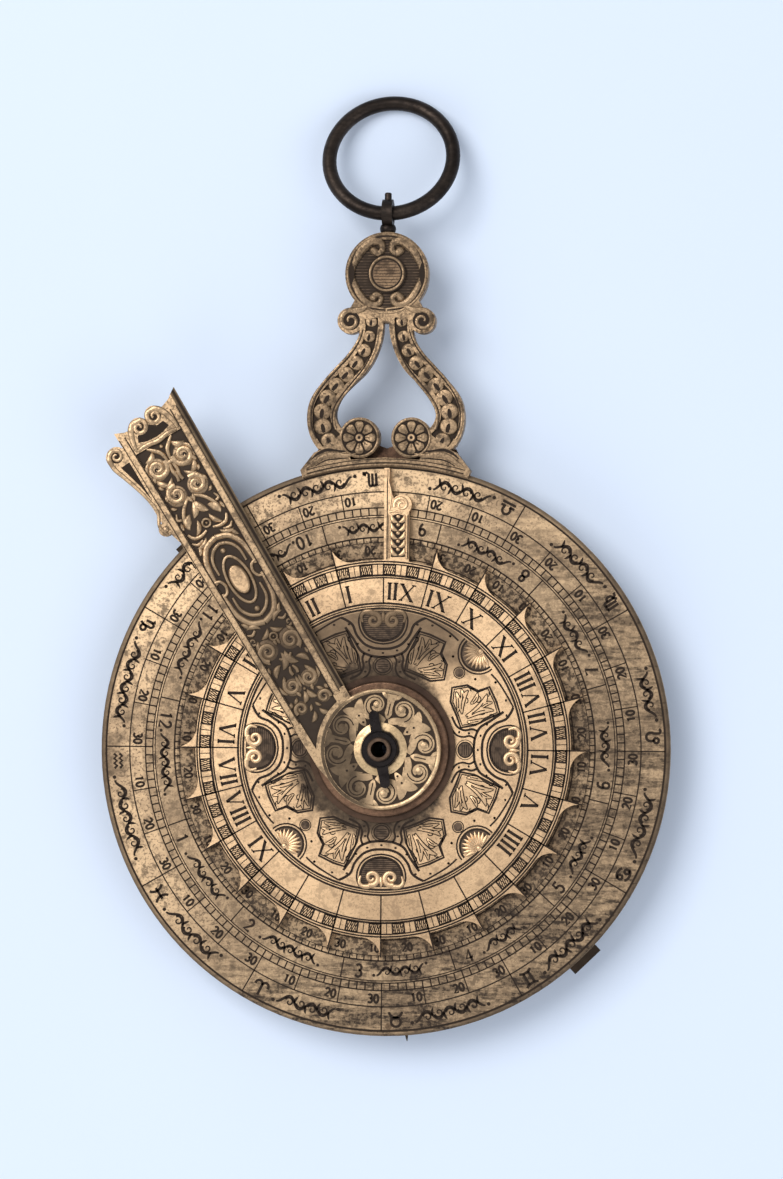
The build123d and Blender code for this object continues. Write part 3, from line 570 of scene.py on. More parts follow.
class Shape:
    """A piece that is being made on a face at some level, of points in millimetres and faces."""

    def __init__(self, level=0.0):
        self.level = level
        self.points = []
        self.faces = []

    def band(self, rings, closed=False):
        """Joins rows of points, one after the other, into a closed skin."""
        start, across, along = len(self.points), len(rings[0]), len(rings)
        for i in range(along if closed else along - 1):
            near, far = start + i * across, start + (i + 1) % along * across
            for j in range(across):
                following = (j + 1) % across
                self.faces.append((near + j, near + following, far + following, far + j))
        if not closed:
            end = start + along * across
            self.faces += [tuple(reversed(range(start, start + across))), tuple(range(end - across, end))]
        for ring in rings:
            self.points += ring

    def ridge(self, course, height, closed=False, form=ROUND, lift=0.0):
        """A raised band along a course of (x, y, half width), round or flat. Narrow stretches lie lower."""
        widest = max(point[2] for point in course)
        level = self.level + lift
        rings = []
        for (x, y, half), (sx, sy) in zip(course, sides(course, closed)):
            half = max(half, 0.015)
            rise = height * min(1, half / widest) ** 0.7
            ring = []
            for across, up in form:
                z = level - FOOT if up is None else level + rise * up
                ring.append((x + sx * half * across, y + sy * half * across, z))
            rings.append(ring)
        self.band(rings, closed)

    def groove(self, course, width, closed=False, lift=0.0):
        """A thin dark line let into the face, along a course of (x, y) or of (x, y, share of the width)."""
        low, top = self.level + lift - SUNK, self.level + lift + PROUD
        rings = []
        for (x, y, *share), (sx, sy) in zip(course, sides(course, closed)):
            dx, dy = (width / 2 * (share[0] if share else 1) * s for s in (sx, sy))
            rings.append([(x + dx, y + dy, low), (x + dx, y + dy, top), (x - dx, y - dy, top), (x - dx, y - dy, low)])
        self.band(rings, closed)

    def panel(self, outline, top=PROUD, lift=0.0):
        """A dark ground let into the face."""
        low, high = self.level + lift - SUNK, self.level + lift + top
        self.band([[(x, y, low) for x, y in outline], [(x, y, high) for x, y in outline]])

    def boss(self, x, y, along, across, height, parts=14, tiers=4, lift=0.0):
        """A rounded oval stud."""
        level = self.level + lift
        rings = [[(*place, level - FOOT) for place in oval(x, y, along, across, parts)]]
        for tier in range(tiers + 1):
            rise = pi / 2 * tier / (tiers + 0.4)
            outline = oval(x, y, along * cos(rise), across * cos(rise), parts)
            rings.append([(*place, level + height * sin(rise)) for place in outline])
        self.band(rings)

    def ring(self, profile, parts=180):
        """Turned work: a closed profile of (radius, rise over the face) swept round the pivot."""
        turns = [2 * pi * k / parts for k in range(parts)]
        self.band([[(r * cos(a), r * sin(a), self.level + z) for r, z in profile] for a in turns], closed=True)

    def circles(self, *rows):
        """Thin dark circles round the pivot, each from a row of (radius, width)."""
        for radius, width in rows:
            near, far = radius - width / 2, radius + width / 2
            self.ring([(near, -SUNK), (near, PROUD), (far, PROUD), (far, -SUNK)], 240)

    def turn(self, angle):
        """Turns what is made so far round the pivot."""
        self.points = [(*about(angle, x, y), z) for x, y, z in self.points]

    def turn_over(self):
        """Turns the work on a face to one that looks down."""
        self.points = [(x, y, 2 * self.level - z) for x, y, z in self.points]

    def piece(self, name, body, slot, finish, copies=1, centre=(0, 0)):
        """Makes the mesh, repeats it evenly round a centre and seats it on its body."""
        made = add(name, mesh_of(name, self.points, [], self.faces))
        face_outwards(made.data)
        made.data.materials.append(finish)
        if copies > 1:
            place = (centre[0] * MM, centre[1] * MM, 0)
            step = radians(360 / copies)
            settle(made, REPEATED, {"Copies": copies, "Step": step, "Centre": place, "Finish": finish})
        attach(made, body)


# Figures, in a box one unit high
FIGURES = {
    "0": [arc(0.3, 0.5, 0.25, 0.47, 0, 360, 18)],
    "1": [[(0.12, 0.78), (0.32, 0.98), (0.32, 0.02)]],
    "2": [arc(0.3, 0.71, 0.23, 0.26, 170, -35) + [(0.06, 0.04), (0.56, 0.04)]],
    "3": [arc(0.28, 0.74, 0.22, 0.23, 150, -90), arc(0.28, 0.27, 0.25, 0.25, 90, -150)],
    "4": [[(0.42, 0.0), (0.42, 0.98), (0.04, 0.32), (0.6, 0.32)]],
    "5": [[(0.52, 0.96), (0.14, 0.96), (0.1, 0.56)] + arc(0.27, 0.31, 0.26, 0.29, 120, -150)],
    "6": [[(0.5, 0.94)] + arc(0.36, 0.5, 0.3, 0.46, 110, 190, 6), arc(0.3, 0.28, 0.23, 0.26, 0, 360, 16)],
    "7": [[(0.06, 0.95), (0.56, 0.95), (0.22, 0.0)]],
    "8": [arc(0.3, 0.75, 0.19, 0.22, 0, 360, 16), arc(0.3, 0.27, 0.25, 0.26, 0, 360, 16)],
    "9": [arc(0.3, 0.71, 0.23, 0.26, 0, 360, 16), arc(0.24, 0.5, 0.29, 0.46, 10, -75, 6)],
}


def write_figures(shape, text, radius, turn, height, width):
    """Plain figures along a circle, with their tops towards the pivot. They start at the turn."""
    for place, figure in enumerate(text):
        for stroke in FIGURES[figure]:
            course = []
            for x, y in stroke:
                run = (place * 0.72 + x) * height
                course.append(dial(radius - y * height, turn - degrees(run / radius)))
            shape.groove(course, width)


# Camera, at the place that the photograph was taken from
AWAY = 520
SENSOR = 36
PHOTO_HEIGHT = 1179
PIXELS_PER_MM = 7.4868
LOOKED_AT = (0.9916, 21.2925, 8)


def camera():
    tilt_x, tilt_y, roll = radians(6.716), radians(-1.475), radians(0.464)
    back = Vector((sin(tilt_x) * cos(tilt_y), sin(tilt_y), cos(tilt_x) * cos(tilt_y)))
    level_right = Vector((0, 1, 0)).cross(back).normalized()
    level_up = back.cross(level_right)
    right = cos(roll) * level_right + sin(roll) * level_up
    up = back.cross(right)
    lens = bpy.data.cameras.new("view_of_dial")
    lens.sensor_width = SENSOR
    lens.lens = SENSOR * PIXELS_PER_MM * AWAY / PHOTO_HEIGHT
    lens.clip_start = 0.01
    lens.clip_end = 20
    seat = add("view_of_dial", lens)
    turn = Matrix((right, up, back)).transposed().to_4x4()
    seat.matrix_world = Matrix.Translation((Vector(LOOKED_AT) + back * AWAY) * MM) @ turn
    bpy.context.scene.camera = seat


camera()


def lamp(name, place, size, power, colour):
    """A soft square light that faces the middle of the object."""
    light = bpy.data.lights.new(name, "AREA")
    light.size = size
    light.energy = power
    light.color = colour
    seat = add(name, light)
    seat.location = place
    seat.rotation_euler = (Vector((0, 0.02, 0)) - Vector(place)).to_track_quat("-Z", "Y").to_euler()


lamp("key_light", (-0.4, 0.32, 0.83), 0.6, 6.2, (1, 0.985, 0.96))
lamp("fill_light", (0.55, -0.3, 0.75), 0.7, 2.7, (0.95, 0.97, 1))
lamp("low_light", (-0.2, -0.65, 0.45), 0.5, 1.2, (1, 1, 1))

world = bpy.data.worlds.new("studio")
world.use_nodes = True
sky = world.node_tree.nodes["Background"].inputs
sky["Color"].default_value = (0.9, 0.945, 1, 1)
sky["Strength"].default_value = 0.45
bpy.context.scene.world = world
bpy.context.scene.view_settings.view_transform = "Standard"

pale_floor = matte(
    "pale_floor", (0.665, 0.75, 0.9), (0.685, 0.772, 0.92), (0.02, 2), 0.8, 0.1, relief=False, Specular_IOR_Level=0.2
)
corners = [(x, y, FLOOR) for x, y in ((-3000, -3000), (3000, -3000), (3000, 3000), (-3000, 3000))]
floor = add("floor", mesh_of("floor", corners, [], [(0, 1, 2, 3)]))
floor.data.materials.append(pale_floor)
floor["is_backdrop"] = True

# Signs of the zodiac, in a box one unit wide and high, in their order round the disc
M_START = [
    [(0.06, 0.85), (0.16, 0.92), (0.2, 0.1)],
    arc(0.31, 0.78, 0.11, 0.14, 170, 0, 6) + [(0.42, 0.1)],
]
M_END = arc(0.53, 0.78, 0.11, 0.14, 170, 0, 6)
WAVE = [(0.04, 0.62), (0.2, 0.8), (0.34, 0.62), (0.5, 0.8), (0.64, 0.62), (0.8, 0.8), (0.96, 0.62)]
SIGNS = {
    "libra": [
        [(0.05, 0.12), (0.95, 0.12)],
        [(0.05, 0.36), (0.34, 0.36)] + arc(0.5, 0.6, 0.25, 0.28, 235, -55, 12) + [(0.95, 0.36)],
    ],
    "virgo": [
        *M_START,
        M_END + [(0.64, 0.2), (0.74, 0.02), (0.92, -0.04)],
        arc(0.72, 0.42, 0.15, 0.22, 120, -110, 8) + [(0.5, 0.0)],
    ],
    "leo": [
        arc(0.26, 0.32, 0.16, 0.16, 0, 360, 12),
        arc(0.5, 0.66, 0.27, 0.3, 225, -40, 14) + arc(0.82, 0.16, 0.14, 0.14, 160, 340, 6),
    ],
    "cancer": [
        arc(0.26, 0.62, 0.15, 0.15, 0, 360, 12),
        arc(0.45, 0.56, 0.42, 0.34, 150, 30, 10),
        arc(0.74, 0.38, 0.15, 0.15, 0, 360, 12),
        arc(0.55, 0.44, 0.42, 0.34, 330, 210, 10),
    ],
    "gemini": [
        [(0.32, 0.1), (0.32, 0.9)],
        [(0.68, 0.1), (0.68, 0.9)],
        arc(0.5, 1.2, 0.5, 0.32, 215, 325, 8),
        arc(0.5, -0.2, 0.5, 0.32, 145, 35, 8),
    ],
    "taurus": [arc(0.5, 0.32, 0.3, 0.3, 0, 360, 16), arc(0.5, 1.02, 0.42, 0.4, 185, 355, 12)],
    "aries": [arc(0.28, 0.72, 0.22, 0.24, 200, 0, 10) + [(0.5, 0.02)], arc(0.72, 0.72, 0.22, 0.24, -20, 180, 10)],
    "pisces": [
        arc(-0.1, 0.5, 0.4, 0.52, 62, -62, 10),
        arc(1.1, 0.5, 0.4, 0.52, 118, 242, 10),
        [(0.1, 0.5), (0.9, 0.5)],
    ],
    "aquarius": [WAVE, [(x, y - 0.36) for x, y in WAVE]],
    "capricorn": [
        [(0.06, 0.8), (0.16, 0.9), (0.22, 0.75), (0.24, 0.3)],
        arc(0.4, 0.7, 0.16, 0.2, 180, 0, 8) + [(0.54, 0.25), (0.42, 0.0)],
        arc(0.72, 0.3, 0.18, 0.18, 180, -180, 12),
    ],
    "sagittarius": [[(0.08, 0.05), (0.9, 0.92)], [(0.55, 0.93), (0.9, 0.92), (0.9, 0.58)], [(0.14, 0.45), (0.5, 0.1)]],
    "scorpio": [
        *M_START,
        M_END + [(0.64, 0.14), (0.76, 0.02), (0.96, 0.14)],
        [(0.8, 0.2), (0.96, 0.14), (0.94, -0.04)],
    ],
}


def on_band(radius, turn):
    """Moves a course from a straight band to one round the dial, with its top towards the pivot."""
    return lambda x, y: dial(radius - y, turn - degrees(x / radius))


def flourish(shape, radius, turn, length, height, width):
    """A running vine with a scroll in each bend, in the place of a word."""
    place = on_band(radius, turn)
    bends = max(4, round(length / (0.84 * height)))
    bend = length / bends
    stem = []
    for k in range(bends * 8 + 1):
        a = pi * k / 8
        stem.append((bend * k / 8, height * (0.5 - 0.34 * cos(a)), 0.8 + 0.5 * abs(sin(a))))
    shape.groove(placed(stem, place), width)
    for k in range(1, bends):
        up = 1 if k % 2 else -1
        x, y = bend * (k + 0.06), height * (0.5 - 0.08 * up)
        scroll = volute(x, y, 0.33 * height, 165, -1.15, 1.1, 0.16, 18)
        shape.groove(placed([(px, y + up * (py - y), half) for px, py, half in scroll], place), width)
        foot, tip = height * (0.5 - 0.1 * up), height * (0.5 + 0.5 * up)
        blade = leaf(bend * (k + 0.5), foot, bend * (k + 0.68), tip, 0.09 * height, 0.1 * up, 5)
        shape.groove(placed(blade, place), 2)
    last = 0.84 if bends % 2 else 0.16
    for x, y in ((-0.22 * height, 0.16 * height), (length + 0.22 * height, last * height)):
        shape.panel(placed(circle(x, y, 0.13 * height, 8), place))


# Base disc: circles, degree and day lines, figures and signs. A run is the length of a flourish
SIGN_RUN = [8.0, 8.4, 6.2, 9.0, 9.4, 9.8, 8.2, 9.2, 10.6, 11.4, 10.4, 9.8]
MONTH_RUN = [8.6, 7.2, 6.0, 5.6, 5.2, 5.6, 6.6, 8.0, 7.6, 8.0, 7.8, 6.4]
MONTH_LINES = [14.1, 43.1, 73.4, 103.1, 131.9, 161.3, 190.3, 221.3, 250, 282.5, 313, 344]
MONTH_ORDER = [9, 8, 7, 6, 5, 4, 3, 2, 1, 12, 11, 10]
MONTH_DAYS = 30.4
SIGN_RING = (34.4, 37.6)
MONTH_RING = (28.3, 30.95)
disc_work = Shape(DISC)
disc_work.circles(
    (37.6, 0.26), (34.4, 0.18), (32.25, 0.18), (31.25, 0.16), (30.95, 0.14), (28.3, 0.22), (27.6, 0.1), (25.5, 0.16)
)
for k, strokes in enumerate(SIGNS.values()):
    first = MONTH_LINES[k]
    following = MONTH_LINES[k - 1] - (0 if k else 360)
    disc_work.groove([dial(radius, 30 * k) for radius in SIGN_RING], 0.18)
    disc_work.groove([dial(radius, first) for radius in MONTH_RING], 0.18)
    for tens in (10, 20, 30):
        write_figures(disc_work, str(tens), 33.9, 30 * k + 30 - tens + 3.2, 1.15, 0.31)
        turn = first - (first - following) * tens / MONTH_DAYS
        write_figures(disc_work, str(tens), 27.15, turn + 3.0, 1.1, 0.28)
    for stroke in strokes:
        course = [(2.2 * x, 2.05 * y) for x, y in stroke]
        disc_work.groove(placed(course, on_band(37.1, 30 * k + 28.6)), 0.36)
    flourish(disc_work, 37.0, 30 * k + 22.8, SIGN_RUN[k], 2.0, 0.28)
    write_figures(disc_work, str(MONTH_ORDER[k]), 30.6, first - 3.4, 1.7, 0.34)
    flourish(disc_work, 30.5, first - 9.0, MONTH_RUN[k], 1.7, 0.25)
disc_work.piece("disc_engraving", "base", "dial_brass", engraved_line)

for name, low, high, width, copies in (
    ("degree_ticks", 31.25, 32.25, 0.19, 180),
    ("day_ticks", 27.6, 28.3, 0.17, 183),
    ("ten_degree_lines", 32.25, 34.4, 0.16, 36),
):
    tick = Shape(DISC)
    tick.groove([dial(low, 0), dial(high, 0)], width)
    tick.piece(name, "base", "dial_brass", engraved_line, copies)

rim_bead = Shape(DISC)
rim_bead.ring([(37.75, -0.05), (37.8, 0.05), (37.95, 0.08), (38.08, 0.02), (38.1, -0.05)])
rim_bead.piece("disc_rim_bead", "base", "dial_brass", finishes["dial_brass"])


# Hour disc: circles, hour lines and Roman figures
def letter(shape, kind, x, height, place):
    """One cut letter with serifs. Returns how far the next one starts."""
    thick, thin, serif = 0.19 * height, 0.09 * height, 0.14 * height
    width = 0.2 * height if kind == "I" else 0.95 * height
    left, right = x + 0.1 * height, x + width - 0.1 * height
    if kind == "I":
        strokes = [((left, 0), (left, height), thick)]
        feet = [(left, 0), (left, height)]
    elif kind == "V":
        strokes = [((left, height), (x + width / 2, 0), thick), ((right, height), (x + width / 2, 0), thin)]
        feet = [(left, height), (right, height)]
    else:
        strokes = [((left, height), (right, 0), thick), ((right, height), (left, 0), thin)]
        feet = [(left, height), (right, 0), (right, height), (left, 0)]
    strokes += [((foot_x - serif, foot_y), (foot_x + serif, foot_y), thin) for foot_x, foot_y in feet]
    for start, stop, wide in strokes:
        shape.groove(placed([start, stop], place), wide)
    return x + width + 0.19 * height


HOURS = "XII XI X IX VIII VII VI V IIII - - - - - - IX VIII VII VI V IIII III II I".split()
HOUR_HEIGHT = 2.15
HOUR_RADIUS = 22.15
HOUR_LINE = (19.43, 27.7)
NOON_LINE = (19.43, 22.85)
hour_work = Shape(HOUR)
hour_work.circles((25.0, 0.22), (24.66, 0.19), (23.16, 0.28), (22.85, 0.2), (19.43, 0.28), (19.08, 0.18), (18.74, 0.3))
for k, name in enumerate(HOURS):
    hour_work.groove([dial(radius, 15 * k) for radius in (HOUR_LINE if k else NOON_LINE)], 0.19)
    letters = name.strip("-")
    run = sum(0.39 if kind == "I" else 1.14 for kind in letters) * HOUR_HEIGHT
    place = on_band(HOUR_RADIUS, 15 * k + 0.6 + degrees(run / HOUR_RADIUS))
    x = 0
    for kind in letters:
        x = letter(hour_work, kind, x, HOUR_HEIGHT, place)
hour_work.piece("hour_engraving", "hour_plate", "hour_brass", engraved_line)

# One hatched cell of the chequered ring, between two plain ones
cell = Shape(HOUR)
for turn, width in ((0, 0.24), (3.75, 0.2), (5.6, 0.11)):
    cell.groove([dial(23.26, turn), dial(24.58, turn)], width)
for radius, width in ((23.28, 0.2), (24.56, 0.16)):
    cell.groove([dial(radius, turn) for turn in (0, 1.9, 3.75)], width)
for turn in (0.1, 0.75, 1.4, 2.05, 2.7):
    cell.groove([dial(23.3, turn), dial(24.55, turn + 1.0)], 0.13, lift=0.002)
for turn in (0.35, 1.6, 2.85):
    cell.groove([dial(24.55, turn), dial(23.3, turn + 0.8)], 0.1, lift=0.002)
cell.piece("chequer_hatching", "hour_plate", "hour_brass", engraved_line, 48)


# Strapwork of the hour disc: one quarter, repeated four times
def inside(course, inset):
    """A closed outline moved inwards, towards its middle."""
    cx, cy = sum(p[0] for p in course) / len(course), sum(p[1] for p in course) / len(course)
    return [(x + (cx - x) * inset, y + (cy - y) * inset) for x, y in course]


FIELD_TOP = 0.006
ground = Shape(HOUR)
lines = Shape(HOUR)
carving = Shape(HOUR)

half_hood = smooth([(2.5, 18.3), (2.85, 17.4), (2.7, 16.2), (2.1, 15.2), (1.1, 14.6), (0, 14.4)], 5)
hood = half_hood + facing(half_hood[-2::-1], -1)
ground.panel(hood, FIELD_TOP)
lines.groove(hood, 0.34)
lines.groove([(x * 1.15, 18.3 - (18.3 - y) * 1.1) for x, y in hood], 0.24)
for k in range(15):
    y = 14.55 + 0.27 * k
    reach = max([x for x, hood_y in half_hood if hood_y <= y] or [0]) - 0.1
    if reach > 0.3:
        lines.groove([(-reach, y), (reach, y)], 0.1)
ground.panel(oval(0, 11.1, 1.0, 0.9, 16), FIELD_TOP)
for radius, width in ((1.02, 0.18), (1.32, 0.1)):
    lines.groove(oval(0, 11.1, radius, 0.92 * radius, 20), width, True)
for y in (10.7, 11.0, 11.3, 11.6):
    lines.groove([(-0.7, y), (0.7, y)], 0.1)
wing = [(2.95, 10.5), (3.3, 12.4), (4.2, 14.2), (4.9, 15.7), (6.4, 15.25), (8.4, 14.3)]
wing += [(7.85, 12.8), (8.6, 11.3), (8.25, 9.3), (6.4, 9.1), (4.6, 9.9)]
for outline in both(wing):
    lines.groove(outline, 0.3, True)
    lines.groove(inside(outline, 0.1), 0.18, True)
ground.panel(arc(12.8, 12.8, 2.3, 2.3, 136, 301, 11), FIELD_TOP)
for radius, width in ((2.3, 0.28), (2.72, 0.22)):
    lines.groove(arc(12.8, 12.8, radius, radius, 132, 312, 15), width)
ground.panel(circle(10.25, 10.25, 0.62, 12), FIELD_TOP)
lines.groove(circle(10.25, 10.25, 0.75, 16), 0.14, True)
for width, *course in (
    (0.34, (5.7, 17.5), (4.95, 17.15), (4.1, 16.5), (3.55, 15.2), (2.5, 14.0), (1.2, 13.45), (0, 13.35)),
    (0.34, (5.1, 16.2), (3.95, 14.6), (3.0, 13.1), (1.7, 12.45), (0.8, 12.3), (0, 12.25)),
    (0.3, (2.5, 12.75), (2.75, 12.0), (2.6, 11.0), (3.1, 10.0), (4.4, 9.3)),
    (0.26, (1.5, 12.4), (1.85, 11.7), (1.7, 10.8), (2.0, 9.9), (2.9, 9.2)),
    (0.24, (5.7, 17.5), (7.3, 16.6), (9.0, 15.5), (10.1, 14.5)),
):
    for line in both(smooth(course)):
        lines.groove(line, width)
spots = [(1.9, 13.15), (3.4, 14.0), (4.6, 16.6), (6.6, 16.5), (9.0, 15.1), (9.4, 12.4), (12.4, 9.4), (15.1, 9.0)]
spots += [(2.2, 11.6), (2.35, 10.3)]
for x, y in [*spots, *facing(spots, -1), (0, 12.8)]:
    lines.panel(oval(x, y, 0.19, 0.15, 8))
for x, y, rx, ry, start, end in (
    (6.75, 12.75, 0.42, 0.42, 200, -120),
    (5.0, 13.35, 0.3, 0.36, 250, 20),
    (6.55, 11.15, 0.36, 0.3, 170, -60),
    (4.5, 14.6, 0.24, 0.3, 120, -100),
    (8.0, 12.0, 0.2, 0.26, 90, -160),
    (7.4, 14.05, 0.28, 0.24, 30, 230),
):
    for course in both(arc(x, y, rx, ry, start, end)):
        lines.groove(course, 0.15)
carving.ridge(leaf(0, 18.45, 0, 16.9, 0.26), 0.2)
scroll = smooth([(2.75, 16.9, 0.14), (2.95, 17.7, 0.24), (2.5, 18.25, 0.3), (1.6, 18.3, 0.36)], 5)
for course in both(scroll + volute(1.28, 17.15, 1.0, 75, 1.3, 0.4, 0.22)):
    carving.ridge(course, 0.24)
for blade in (
    (3.75, 11.3, 4.15, 13.5, 0.24, 0.1),
    (4.15, 11.3, 5.25, 14.95, 0.36, -0.12),
    (4.5, 11.1, 7.5, 14.0, 0.4, 0.14),
    (4.7, 10.7, 7.95, 11.5, 0.36, -0.14),
    (4.95, 10.05, 7.75, 9.8, 0.26, 0.1),
    (5.35, 13.0, 6.3, 14.75, 0.25, -0.14),
    (6.1, 11.75, 7.6, 12.7, 0.25, 0.14),
    (6.1, 10.5, 8.1, 10.55, 0.2, 0.1),
):
    for course in both(leaf(*blade)):
        lines.groove([(x, y, half + 0.12) for x, y, half in course], 2)
        carving.ridge(course, 0.14, form=FLAT)
        lines.groove([(x, y) for x, y, half in course[2:-3]], 0.13, lift=0.145)
for k in range(11):
    a = radians(225 + (k - 5) * 16.5)
    near = (13.1 + 0.5 * cos(a), 13.1 + 0.5 * sin(a))
    far = (12.85 + 2.15 * cos(a), 12.85 + 2.15 * sin(a))
    carving.ridge(leaf(*near, *far, 0.25), 0.2)
carving.boss(13.05, 13.05, 0.42, 0.42, 0.24)
for shape, name, finish in (
    (ground, "strapwork_ground", waxed_ground),
    (lines, "strapwork_lines", engraved_line),
    (carving, "strapwork_scrolls", hour_carved),
):
    shape.piece(name, "hour_plate", "hour_brass", finish, 4)

# Tongue of the hour disc: raised border, slot line, and leaves and balls up its middle
tongue_lines = Shape(HOUR)
tongue_carving = Shape(HOUR)
tongue_lines.groove([(0.42, 25.3), (0.42, 37.3)], 0.14)
tongue_lines.panel([(0.95, 25.6), (2.85, 25.6), (2.85, 31.1), (1.9, 31.4), (0.95, 31.1)])
for x in (0.58, 3.26):
    tongue_lines.groove([(x, 25.4), (x, 31.3)], 0.1)
for course in (
    [(0.72, 25.4, 0.1), (0.72, 31.2, 0.1)],
    [(3.08, 25.4, 0.12), (3.08, 31.2, 0.12)],
    [(0.75, 31.6, 0.16), (1.5, 31.75, 0.16), (2.4, 31.5, 0.16)],
):
    tongue_carving.ridge(course, 0.14)
for y in (26.2, 27.3, 28.4, 29.5, 30.6):
    for side in (1, -1):
        tongue_carving.ridge(leaf(1.9 + 0.85 * side, y + 0.7, 1.9, y - 0.35, 0.3, 0.25 * side), 0.18)
    tongue_carving.boss(1.9, y + 0.42, 0.3, 0.26, 0.18, 10, 3)
tongue_carving.ridge(volute(2.35, 32.6, 1.02, 200, -1.4, 0.28), 0.18)
tongue_carving.ridge(smooth([(0.72, 31.9, 0.12), (0.95, 34.0, 0.14), (0.55, 36.0, 0.1), (0.5, 37.3, 0.08)], 5), 0.12)
tongue_lines.piece("tongue_lines", "hour_plate", "hour_brass", engraved_line)
tongue_carving.piece("tongue_carving", "hour_plate", "hour_brass", hour_carved)


# Long arm
def far_edge(along):
    """The far edge of the arm, across it."""
    return 8.5 + (along - 2.1) / 51.9 * 1.55


def on_field(side):
    """Moves a course from the middle of the sunk field to the arm, on one side or the other."""
    return lambda along, across: arm(along, (1.9 + far_edge(along) - 1.1) / 2 + side * across)


arm_carving = Shape(ARM_FIELD)
arm_lines = Shape(ARM_FIELD)
arm_discs = Shape(ARM_FIELD)
ARM_VOLUTES = [
    (47.5, 1.95, 1.42, -70, -1.5, 0.36),
    (43.2, 1.5, 1.3, -20, 1.45, 0.36),
    (18.7, 1.75, 1.32, 160, -1.45, 0.34),
    (13.2, 1.25, 1.08, 30, 1.4, 0.3),
    (9.9, 1.75, 0.9, 120, -1.3, 0.26),
    (20.9, 2.75, 0.5, 200, -1.1, 0.16),
]
# Stems, each with its number of steps from point to point
ARM_STEMS = [
    (4, (50.5, 1.9, 0.14), (49.9, 1.2, 0.24), (49.2, 0.55, 0.26), (48.3, 0.3, 0.2), (47.6, 0.25, 0.16)),
    (4, (47.2, 0.2, 0.16), (46.2, 0.35, 0.24), (45.3, 0.2, 0.22), (44.6, 0.35, 0.2)),
    (4, (42.1, 0.35, 0.15), (41.2, 1.5, 0.22), (40.2, 2.2, 0.24), (39.3, 2.6, 0.18)),
    (4, (37.0, 0.5, 0.16), (36.7, 1.5, 0.22), (36.9, 2.5, 0.24), (37.7, 3.0, 0.16)),
    (6, (29.9, 3.0, 0.2), (31.4, 3.05, 0.3), (33.4, 2.75, 0.34), (35.0, 1.7, 0.34), (35.6, 0.0, 0.36)),
    (5, (30.9, 2.1, 0.14), (32.8, 2.0, 0.2), (34.1, 1.15, 0.22), (34.6, 0.0, 0.22)),
    (6, (28.5, 3.0, 0.2), (26.9, 3.05, 0.3), (24.9, 2.75, 0.34), (23.2, 1.7, 0.34), (22.5, 0.0, 0.36)),
    (5, (27.4, 2.1, 0.14), (25.5, 2.0, 0.2), (24.2, 1.15, 0.22), (23.6, 0.0, 0.22)),
    (5, (30.35, 3.25, 0.16), (30.1, 2.45, 0.2), (29.2, 2.1, 0.2), (28.3, 2.45, 0.2), (28.05, 3.25, 0.16)),
    (4, (15.6, 0.2, 0.14), (14.9, 0.45, 0.22), (14.4, 0.35, 0.2)),
    (4, (40.9, 2.9, 0.1), (40.1, 3.2, 0.2), (39.9, 2.7, 0.16)),
    (4, (36.4, 3.1, 0.12), (35.9, 2.5, 0.2), (36.1, 1.6, 0.14)),
    (4, (22.0, 3.0, 0.12), (21.7, 2.4, 0.2), (22.1, 1.8, 0.14)),
    (4, (17.4, 0.1, 0.1), (16.9, 0.5, 0.2), (17.2, 0.9, 0.14)),
]
# Leaves: start, end, half width and bend
ARM_LEAVES = [
    (49.9, 1.5, 49.0, 3.1, 0.4, 0.25), (46.3, 2.9, 44.9, 1.6, 0.36, -0.2), (44.6, 2.6, 45.4, 3.15, 0.22, 0.1),
    (41.4, 0.1, 39.2, 1.2, 0.42, 0.12), (40.0, 1.3, 38.1, 2.4, 0.48, -0.18), (41.5, 2.4, 42.1, 3.2, 0.22, 0.15),
    (36.3, 1.0, 35.5, 2.9, 0.3, 0.2), (21.9, 1.0, 22.7, 2.8, 0.3, -0.2), (21.6, 0.2, 20.6, 1.7, 0.3, 0.2),
    (17.9, 0.3, 15.6, 1.25, 0.42, 0.2), (16.4, 1.1, 15.0, 2.5, 0.36, -0.2), (12.4, 2.3, 14.0, 2.8, 0.24, 0.15),
    (11.9, 0.25, 10.4, 1.1, 0.34, 0.2), (8.9, 0.4, 7.7, 1.5, 0.3, 0.2), (11.4, 2.6, 10.6, 3.0, 0.26, 0.1),
    (12.2, 1.4, 11.3, 1.0, 0.24, 0.2), (16.9, 2.7, 15.8, 3.0, 0.26, -0.1), (46.9, 3.0, 45.9, 3.3, 0.26, 0.1),
    (43.9, 2.9, 42.9, 3.2, 0.26, 0.1), (48.9, 2.4, 47.0, 3.6, 0.26, -0.15), (45.6, 0.9, 44.6, 2.5, 0.26, 0.15),
    (42.4, 0.5, 41.2, 0.1, 0.24), (38.9, 0.9, 37.0, 2.1, 0.3, 0.15), (39.6, 3.0, 38.4, 3.2, 0.22),
    (35.7, 2.4, 34.4, 3.1, 0.26, 0.1), (22.4, 2.2, 23.8, 3.1, 0.26, -0.1), (20.7, 2.2, 19.6, 3.0, 0.26, 0.1),
    (17.0, 2.3, 17.9, 2.9, 0.22, -0.1), (19.9, 0.3, 18.9, 0.2, 0.22), (14.9, 1.6, 13.9, 2.4, 0.24, 0.15),
    (14.2, 0.2, 12.4, 0.25, 0.24), (11.6, 1.5, 10.9, 2.3, 0.22, 0.1), (9.9, 0.3, 9.0, 0.9, 0.2, 0.1),
]
volutes = [volute(*row) for row in ARM_VOLUTES]
paired = volutes + [smooth(course, steps) for steps, *course in ARM_STEMS] + [leaf(*row) for row in ARM_LEAVES]
